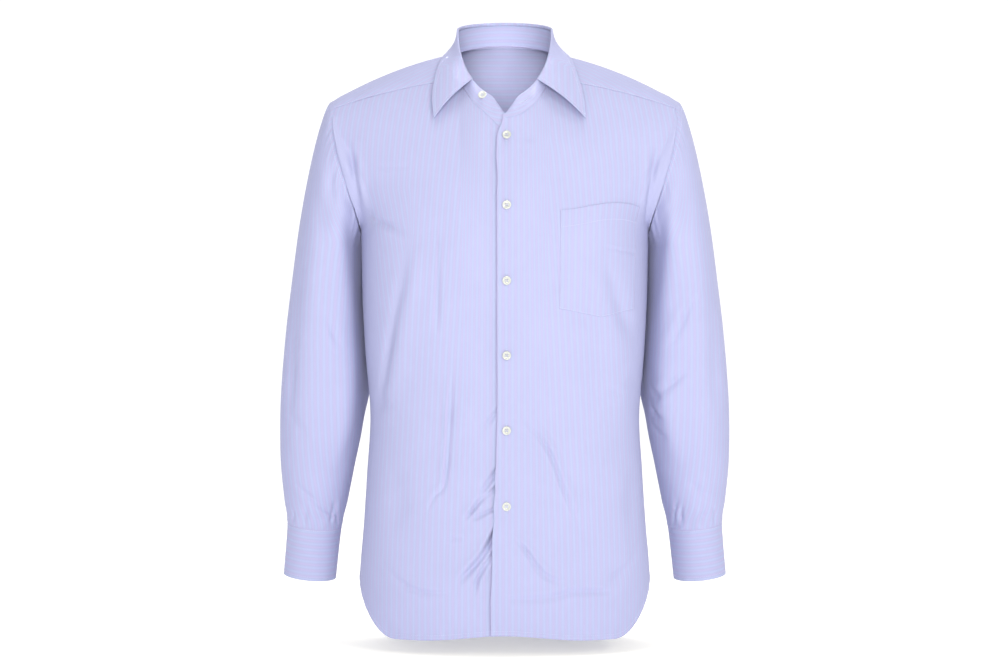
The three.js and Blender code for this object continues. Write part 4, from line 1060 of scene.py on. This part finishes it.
RIGHT_SLEEVE_CREASES = [
    dict(path=[(286, -566), (262, -587), (240, -607), (221, -621)], width=2.8, depth=-2.0, roll=0.45),
    dict(path=[(240, -332), (226, -367), (215, -403)], width=6, depth=-2.1),
    dict(path=[(246, -130), (234, -192), (214, -240)], width=6, depth=-2.6, roll=0.4),
    dict(path=[(238, -150), (230, -190), (219, -248), (214, -314), (211, -393), (212, -459), (218, -512),
               (226, -565)], width=15, depth=7.5, roll=0, fade=0.2),
    dict(path=[(270, -271), (278, -354), (283, -446), (287, -525)], width=9, depth=-2.2, roll=0.3),
    dict(path=[(234, -632), (232, -618), (228, -596)], width=3.6, depth=-2.0),
    dict(path=[(224, -632), (226, -616), (230, -590)], width=3.4, depth=-1.8),
    dict(path=[(268, -632), (266, -616), (262, -598)], width=3.6, depth=-1.6),
    dict(path=[(284, -632), (283, -618), (280, -602)], width=3.6, depth=-1.3),
    dict(path=[(292, -470), (276, -492), (262, -520)], width=7, depth=-1.5),
    dict(path=[(250, -230), (254, -310), (252, -400)], width=15, depth=1.6, roll=0),
]
LEFT_SLEEVE_CREASES = [
    dict(path=[(240, -98), (223, -146), (204, -190)], width=4.5, depth=-2.8, roll=-0.4),
    dict(path=[(262, -296), (244, -331), (227, -371), (214, -399)], width=4.5, depth=-2.5, roll=-0.4),
    dict(path=[(246, -414), (222, -437), (198, -460)], width=5, depth=-2.8, roll=0.4),
    dict(path=[(238, -145), (229, -195), (220, -255), (214, -327), (211, -393), (212, -440), (220, -500),
               (228, -556)], width=14, depth=6.5, roll=0, fade=0.2),
    dict(path=[(192, -438), (203, -452), (216, -461)], width=3.4, depth=-2.2),
    dict(path=[(192, -464), (204, -479), (217, -490)], width=3.4, depth=-2.6, roll=0.5),
    dict(path=[(194, -488), (206, -502), (222, -512)], width=3.6, depth=-1.8),
    dict(path=[(274, -314), (278, -403), (282, -490)], width=9, depth=-2.0),
    dict(path=[(236, -632), (236, -616), (238, -594)], width=3.8, depth=-2.0),
    dict(path=[(226, -632), (228, -614), (232, -588)], width=3.4, depth=-1.6),
    dict(path=[(262, -632), (264, -618), (268, -600)], width=3.6, depth=-1.7),
    dict(path=[(282, -632), (281, -616), (278, -600)], width=3.6, depth=-1.5),
    dict(path=[(244, -560), (256, -580), (276, -594)], width=6, depth=-1.6),
    dict(path=[(256, -230), (258, -300), (252, -380)], width=15, depth=1.5, roll=0),
]
SLEEVE_BACK_CREASES = [
    dict(path=[(290, -330), (262, -346), (226, -360)], width=8, depth=-2.8),
    dict(path=[(298, -400), (268, -414), (232, -430)], width=8, depth=-3.0),
    dict(path=[(300, -452), (272, -470), (240, -478)], width=7, depth=-2.4),
    dict(path=[(240, -110), (226, -160), (212, -220)], width=7, depth=-2.4),
    dict(path=[(296, -560), (276, -576), (250, -588)], width=6, depth=-2.0),
    dict(path=[(276, -632), (276, -612), (274, -592)], width=4.2, depth=-1.9),
    dict(path=[(234, -632), (234, -614), (236, -596)], width=4.2, depth=-1.6),
]
# Under the arm the sleeve rests against the body's side, a little behind its own seam.
UNDERARM_REST = dict(behind=12, top=-165, bottom=-500, width=13, depth=7, roll=0, fade=0.22)


def arm_centre(step):
    x = (through(ARM, "step", "outer", step) + through(ARM, "step", "inner", step)) / 2
    return point(x, through(ARM, "step", "y", step), through(ARM, "step", "z", step))


def arm_section(step, angle):
    """The sleeve below the armhole, by row of its table and by angle round the arm from the underarm."""
    step = np.asarray(step, float)
    half = (through(ARM, "step", "outer", step) - through(ARM, "step", "inner", step)) / 2
    down = unit(arm_centre(np.minimum(step + 0.05, len(ARM) - 1)) - arm_centre(np.maximum(step - 0.05, 0)))
    outward = unit(np.array([1, 0, 0]) - down * down[..., :1])
    forward = unit(np.cross(down, outward))
    swing = -(half * np.cos(angle))[..., None] * outward
    ahead = through(ARM, "step", "depth", step) * np.sin(angle)
    return arm_centre(step) + swing + ahead[..., None] * forward


def arm_middle(step):
    return (arm_section(step, 0) + arm_section(step, math.pi)) / 2


def half_gap_as_step(step):
    return SEAM_GAP / 2 / float(size_of(arm_middle(step) - arm_middle(step + 1)))


def sleeve_form(angle, down):
    """The sleeve, where down runs from 0 at the armhole to 1 at the underarm and then by the table."""
    angle, down = np.broadcast_arrays(np.asarray(angle, float), np.asarray(down, float))
    first = arm_section(np.zeros_like(angle), angle)
    top = armhole(angle) + np.array([0.9, 0, 0])
    chord = size_of(first - top)
    over = ((1 - np.cos(angle)) / 2) ** 1.5
    leave = unit(lerp(point(0.02, 0, -1), point(0.87, 0, -0.5), over[..., None]))
    leave = leave * (chord * lerp(0.9, 0.28, over))[..., None]
    following = unit(arm_section(np.full_like(angle, 0.05), angle) - first) * chord[..., None]
    head = bow(top, leave, first, following, np.minimum(down, 1))
    return np.where((down >= 1)[..., None], arm_section(np.maximum(down - 1, 0), angle), head)


def arm_angle(x, z, behind):
    """The angle round the arm at which a place seen from the front, or from behind, lies."""
    step = np.interp(-z, [-row["z"] for row in ARM], range(len(ARM)))
    outer, inner = through(ARM, "step", "outer", step), through(ARM, "step", "inner", step)
    turn = math.acos(float(np.clip(((outer + inner) / 2 - x) / ((outer - inner) / 2), -1, 1)))
    return 2 * math.pi - turn if behind else turn


def round_arm(creases, behind=False):
    """Creases given by x and z, turned into distances round the arm and z."""
    turned = []
    for crease in creases:
        path = [(arm_angle(x, z, behind) * ARM_RADIUS, z) for x, z in crease["path"]]
        turned.append({**crease, "path": path})
    return turned


underarm_gap = 0.12 / ARM_RADIUS
angles = lerp(underarm_gap, 2 * math.pi - underarm_gap, spaced(330, 2.4, 1.2))[None, :]
sleeve_end = CUFF_SEAM - half_gap_as_step(CUFF_SEAM - 1)
head = spaced(190, 3.2, 1.1) * (1 - 0.006) + 0.006
arm_part = 1 + sleeve_end * spaced(380, 3.2, 1.1, closer=(290, 380, 2.0))[1:]
downs = np.r_[head[head < 0.999], 1, arm_part][::-1][:, None]
sleeve = sleeve_form(angles, downs)
outward = facing(sleeve)
held = smooth(downs / 0.35) * smooth((1 + sleeve_end - downs) / 0.1 + 0.25)
ring = run(sleeve, 1)
outer_line = np.array([np.interp(math.pi, angles[0], row) for row in ring])[:, None]
sleeve_threads = np.stack([ring - outer_line, run(sleeve, 0)], axis=-1)
for hand, creases in (("left", LEFT_SLEEVE_CREASES), ("right", RIGHT_SLEEVE_CREASES)):
    table = round_arm(creases) + round_arm(SLEEVE_BACK_CREASES, behind=True)
    around = angles * ARM_RADIUS + 0 * downs
    raised = creased(table, around, sleeve[..., 2])
    for turn in (0, 2 * math.pi):
        a = turn * ARM_RADIUS - UNDERARM_REST["behind"]
        path = [(a, z) for z in np.linspace(UNDERARM_REST["top"], UNDERARM_REST["bottom"], 4)]
        raised = raised + creased([{**UNDERARM_REST, "path": path}], around, sleeve[..., 2])
    raised = held * raised
    raised = raised + seam_ease(sleeve, "top", 22, 0.8) + seam_ease(sleeve, "bottom", 12, 0.6)
    grid, threads_of = sleeve + outward * raised[..., None], sleeve_threads
    if hand == "right":
        grid, threads_of = grid[:, ::-1] * (-1, 1, 1), sleeve_threads[:, ::-1]
    sewn_piece(
        hand + "_sleeve",
        "sleeve_" + hand,
        grid,
        threads_of,
        [("top", 6.0)],
        ["top", "bottom"],
    )

# Cuffs
# A barrel cuff of two layers over interlining, wound once round the wrist with its ends lapped.
# It is edge-stitched all round, and its stripes run round the wrist.
CUFF_CLOTH = 1.6
CUFF_OVERLAP = 0.69
CUFF_START = 3.75
CUFF_TURN = 2 * math.pi + CUFF_OVERLAP


def cuff_form(turn, down):
    """The cuff by angle from its under end and from the sleeve seam down."""
    at = arm_section(CUFF_SEAM + down, CUFF_START + turn)
    lapped = smooth((turn - (2 * math.pi - 0.5)) / 0.45) * (CUFF_CLOTH + LAYER_GAP)
    return at + unit(at - arm_middle(CUFF_SEAM + down)) * lapped[..., None]


turn = CUFF_TURN * spaced(255, 2.4, 0.8, 6)[None, :]
down = lerp(half_gap_as_step(CUFF_SEAM), 1, 1 - spaced(70, 2.4, 0.8, 6)[:, None])
cuff = cuff_form(turn + 0 * down, down + 0 * turn)
cuff_threads = np.stack([run(cuff, 0), run(cuff, 1)], axis=-1)
for hand in ("left", "right"):
    grid, threads_of = cuff, cuff_threads
    if hand == "right":
        grid, threads_of = cuff[:, ::-1] * (-1, 1, 1), cuff_threads[:, ::-1]
    sewn_piece(
        hand + "_cuff",
        "cuff_" + hand,
        grid,
        threads_of,
        [("top", 2.0), ("bottom", 5.0), ("start", 5.0), ("end", 5.0)],
        thickness=CUFF_CLOTH,
    )

# Sleeve plackets
# A pointed strip over the vent above each cuff, edge-stitched round its point.
SLEEVE_VENT = dict(angle=4.1, half_width=0.33, length=150, point=14)


def on_sleeve(angle, down, lift):
    """The sleeve's surface moved out along its normal."""
    step = 0.02
    here = sleeve_form(angle, down)
    along = sleeve_form(angle, down + step) - sleeve_form(angle, down - step)
    around_arm = sleeve_form(angle + step, down) - sleeve_form(angle - step, down)
    return here + unit(np.cross(along, around_arm)) * lift[..., None]


row_length = 59
across_strip = spaced(32, 1.6, 0.7, 5)[None, :] * 2 - 1
along_strip = spaced(165, 2.4, 0.9, 6)[:, None]
strip_end = CUFF_SEAM + 1 - 0.03
tip = SLEEVE_VENT["point"] * np.abs(across_strip) / row_length
top = strip_end - (SLEEVE_VENT["length"] + SLEEVE_VENT["point"]) / row_length + tip
strip_angle = SLEEVE_VENT["angle"] + across_strip * SLEEVE_VENT["half_width"] * lerp(1, 0.8, 1 - along_strip)
strip_down = lerp(top, strip_end, along_strip)
table = round_arm(SLEEVE_BACK_CREASES, behind=True)
base = sleeve_form(strip_angle, strip_down)
follow = creased(table, strip_angle * ARM_RADIUS, base[..., 2])
held = smooth((1 + sleeve_end - strip_down) / 0.1 + 0.25)
strip = on_sleeve(strip_angle, strip_down, 1 + CLOTH + held * follow)[::-1]
strip_threads = np.stack([run(strip, 1), run(strip, 0)], axis=-1)
for hand in ("left", "right"):
    grid, threads_of = strip, strip_threads
    if hand == "right":
        grid, threads_of = strip[:, ::-1] * (-1, 1, 1), strip_threads[:, ::-1]
    sewn_piece(
        hand + "_vent_strip",
        "sleeve_placket_" + hand,
        grid,
        threads_of,
        [("top", 1.6), ("start", 1.6), ("end", 1.6)],
    )

# Buttons
# Four-hole buttons turned from pearly white resin, with a raised rim round a dished middle.
# Each is sewn through its holes with two bars of thread.
BUTTON = dict(radius=5.7, thick=2.2, hole=0.85, hole_from_middle=1.55)
BUTTON_PROFILE = [
    (0, 1.35), (1.2, 1.36), (2.6, 1.42), (3.3, 1.55), (3.9, 1.9), (4.4, 2.14), (4.9, 2.2), (5.3, 2.1),
    (5.58, 1.85), (5.7, 1.45), (5.66, 1.0), (5.4, 0.5), (4.8, 0.18), (3.8, 0.02), (2.0, 0), (0, 0),
]
pearl = new_material("Pearly resin", Roughness=0.28, Coat_Weight=0.35, Coat_Roughness=0.15)
mottled(pearl, 240, (0.39, 0.41, 0.42, 1), (0.47, 0.485, 0.50, 1), 0.1, distortion=1.6)


def turned_mesh(name, profile, sides):
    """A solid of revolution from a profile that starts and ends on its axis."""
    points, faces = [(0, 0, profile[0][1])], []
    for radius, height in profile[1:-1]:
        for k in range(sides):
            turn = 2 * math.pi * k / sides
            points.append((radius * math.cos(turn), radius * math.sin(turn), height))
    points.append((0, 0, profile[-1][1]))
    rings = len(profile) - 2
    for k in range(sides):
        after = (k + 1) % sides
        faces.append((0, 1 + k, 1 + after))
        for i in range(rings - 1):
            a, b = 1 + i * sides + k, 1 + i * sides + after
            faces.append((a, a + sides, b + sides, b))
        last = 1 + (rings - 1) * sides
        faces.append((last + k, len(points) - 1, last + after))
    mesh = bpy.data.meshes.new(name)
    mesh.from_pydata([tuple(MM * value for value in p) for p in points], [], faces)
    return mesh


blank = bpy.data.objects.new("button_blank", turned_mesh("button_blank", BUTTON_PROFILE, 48))
drill_profile = [(0, 3), (BUTTON["hole"], 3), (BUTTON["hole"], -1), (0, -1)]
drills = turned_mesh("button_drill", drill_profile, 14)
holes = []
for k in range(4):
    turn = (k + 0.5) * math.pi / 2
    drill = bpy.data.objects.new(f"drill_{k}", drills)
    drill.location = Vector((math.cos(turn), math.sin(turn), 0)) * BUTTON["hole_from_middle"] * MM
    holes.append(drill)
for tool in [blank] + holes:
    bpy.context.scene.collection.objects.link(tool)
for drill in holes:
    cut_hole = blank.modifiers.new("hole", "BOOLEAN")
    cut_hole.operation, cut_hole.object, cut_hole.solver = "DIFFERENCE", drill, "EXACT"
bpy.context.view_layer.update()
button_mesh = bpy.data.meshes.new_from_object(blank.evaluated_get(bpy.context.evaluated_depsgraph_get()))
for tool in holes + [blank]:
    bpy.data.objects.remove(tool)


def sewn_button(node, surface_at, side=1, lift=0.0):
    """A button on a surface given by two distances in millimetres from its middle, and its thread."""
    normal = np.cross(surface_at(1, 0) - surface_at(-1, 0), surface_at(0, 1) - surface_at(0, -1))
    normal = unit(normal * (side, 1, 1) if side < 0 else normal)
    low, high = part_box(node)
    middle = (np.array(low) + np.array(high)) / 2 / MM
    base = middle + normal * (lift - BUTTON["thick"] / 2)
    turn = Vector((0, 0, 1)).rotation_difference(Vector(normal))
    mesh = button_mesh.copy()
    mesh.name = node + "_disc"
    place_it = turn.to_matrix().to_4x4()
    place_it.translation = Vector(base) * MM
    mesh.transform(place_it)
    for polygon in mesh.polygons:
        polygon.use_smooth = True
    mesh.materials.clear()
    mesh.materials.append(pearl)
    disc = linked(node + "_disc", mesh)
    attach(disc, "root")
    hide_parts(node)
    reach = BUTTON["hole_from_middle"] / math.sqrt(2)
    upright_way = np.array(turn @ Vector((0, 1, 0)))
    beside = np.array(turn @ Vector((1, 0, 0)))
    strands = [base + beside * (s * reach + o) + normal * 1.5 for s in (-1, 1) for o in (-0.25, 0.05, 0.32)]
    strands += [base + normal * -0.35 + beside * o for o in (-0.7, 0, 0.7)]
    places = np.array(strands)
    along = np.array([upright_way] * 6 + [beside] * 3)
    stitch_mesh(node + "_thread", places, along, np.array([normal] * 9), 3.0, 0.24)


def buttonhole(name, surface_at, upright=True, side=1):
    """Two close rows of purl stitches with a bar at each end, on a surface given as for a button."""
    half, apart, purl = 7.5, 0.75, 0.55
    along = np.arange(-half + purl, half, purl)
    sides = [(s * apart, t) for s in (-1, 1) for t in along]
    bars = [(s, t) for s in (-0.5, 0, 0.5) for t in (-half, half)]
    a, b = np.array(sides + bars).T[:: 1 if upright else -1]
    here = surface_at(a, b)
    over, up = unit(surface_at(a + 1, b) - here), unit(surface_at(a, b + 1) - here)
    normal = unit(np.cross(over, up))
    mirrored = np.array([side, 1, 1])
    way = over if upright else up
    stitch_mesh(name, (here + normal * 0.12) * mirrored, way * mirrored, normal * mirrored, 1.3, 0.2)


BUTTON_X = 2.5
BUTTON_ZS = (-117, -207.5, -304, -400, -496.5, -594)
for number, z in enumerate(BUTTON_ZS, 1):
    above = z - CHEST_Z
    line = Upright("front", BUTTON_X / FRONT_WIDTH)
    for _ in range(8):
        above += z - line.at(np.float64(above))[..., 2]
    sewn_button(
        f"button_front_{number}",
        lambda x, y: on_front(np.float64(BUTTON_X + x), np.float64(above + y)),
    )
    buttonhole(f"front_hole_{number}", lambda x, y: on_front(BUTTON_X + x, above + y))
STAND_BUTTON = dict(angle=2 * math.pi - 0.49, up=0.7)
sewn_button(
    "button_collar",
    lambda x, y: stand_form(
        np.float64(STAND_BUTTON["angle"] + x / STAND["width"]), STAND_BUTTON["up"] + y / STAND["height"]
    ),
    lift=BAND_OUT * OPEN_END["share"],
)
buttonhole(
    "band_hole",
    lambda x, y: band_form(0.43 + x / STAND["width"], 0.5 + y / STAND["height"]),
    upright=False,
)
cuff_length = float(size_of(arm_middle(CUFF_SEAM) - arm_middle(CUFF_SEAM + 1)))
for hand, side in (("left", 1), ("right", -1)):
    sewn_button(
        "button_cuff_" + hand,
        lambda x, y: cuff_form(
            np.float64(CUFF_TURN - 0.3 + x / ARM[CUFF_SEAM]["depth"]), np.float64(0.5 - y / cuff_length)
        ),
        side,
    )
    buttonhole(
        "cuff_hole_" + hand,
        lambda x, y: cuff_form(CUFF_TURN - 0.3 + (x - 4) / ARM[CUFF_SEAM]["depth"], 0.5 - y / cuff_length),
        upright=False,
        side=side,
    )

# Floor, light and camera
# A plain pale floor under an even white studio, a large soft light in front and the photograph's view.
FLOOR_Z, FLOOR_RADIUS, SPOKES = -0.7855, 6, 96
floor_turns = [2 * math.pi * k / SPOKES for k in range(SPOKES)]
rim = [(FLOOR_RADIUS * math.cos(turn), FLOOR_RADIUS * math.sin(turn), FLOOR_Z) for turn in floor_turns]
mesh = bpy.data.meshes.new("studio_floor")
mesh.from_pydata(rim, [], [list(range(SPOKES))])
paper = new_material(
    "White paper",
    Base_Color=(0.8, 0.79, 0.765, 1),
    Roughness=0.9,
    Emission_Color=(1, 1, 1, 1),
    Emission_Strength=0.42,
)
mesh.materials.append(paper)
floor = linked("studio_floor", mesh)

# White wall behind the shirt, a dimmer room in front of it, and the same white behind it from every side.
world = bpy.data.worlds.new("Studio")
world.use_nodes = True
tree = world.node_tree
split = add(tree, "SeparateXYZ", i0=add(tree, "TexCoord").outputs["Generated"])
wall = add(
    tree,
    "MapRange",
    dict(interpolation_type="SMOOTHSTEP"),
    Value=split.outputs[1],
    From_Min=-0.6,
    From_Max=0.6,
    To_Min=0.5,
    To_Max=1.08,
)
seen = add(tree, "LightPath").outputs["Is Camera Ray"]
brightness = maths(tree, "MAXIMUM", wall.outputs[0], maths(tree, "MULTIPLY", seen, 1.08))
feed(tree, tree.nodes["Background"], Color=(1, 1, 1.02, 1), Strength=brightness)
bpy.context.scene.world = world


def soft_light(name, place, aim, size, power, colour, spread=180):
    lamp = bpy.data.lights.new(name, "AREA")
    lamp.shape, lamp.size, lamp.energy, lamp.color = "SQUARE", size, power, colour
    lamp.spread = math.radians(spread)
    light = bpy.data.objects.new(name, lamp)
    light.location = place
    light.rotation_euler = (Vector(aim) - Vector(place)).to_track_quat("-Z", "Y").to_euler()
    bpy.context.scene.collection.objects.link(light)


WARM = (1, 0.975, 0.80)
soft_light("front", (-0.1, -4.4, -0.1), (0, 0, -0.4), 1.6, 155, WARM)
soft_light("key", (2.0, -3.0, 1.3), (0, 0, -0.4), 0.7, 42, WARM)
soft_light("top", (0.2, 0.1, 2.4), (0, 0, -0.4), 1.0, 28, WARM)
soft_light("neck", (0, -1.3, 0.12), (0, 0.09, -0.02), 0.04, 0.029, (1, 0.99, 0.95), spread=8)

lens = bpy.data.cameras.new("view")
lens.lens, lens.sensor_width = 2250 * 36 / 1008, 36
camera = bpy.data.objects.new("view", lens)
camera.location = (-0.001, -3.0, -0.375)
camera.rotation_euler = (math.pi / 2, 0, 0)
bpy.context.scene.collection.objects.link(camera)
bpy.context.scene.camera = camera
bpy.context.scene.view_settings.view_transform = "Standard"
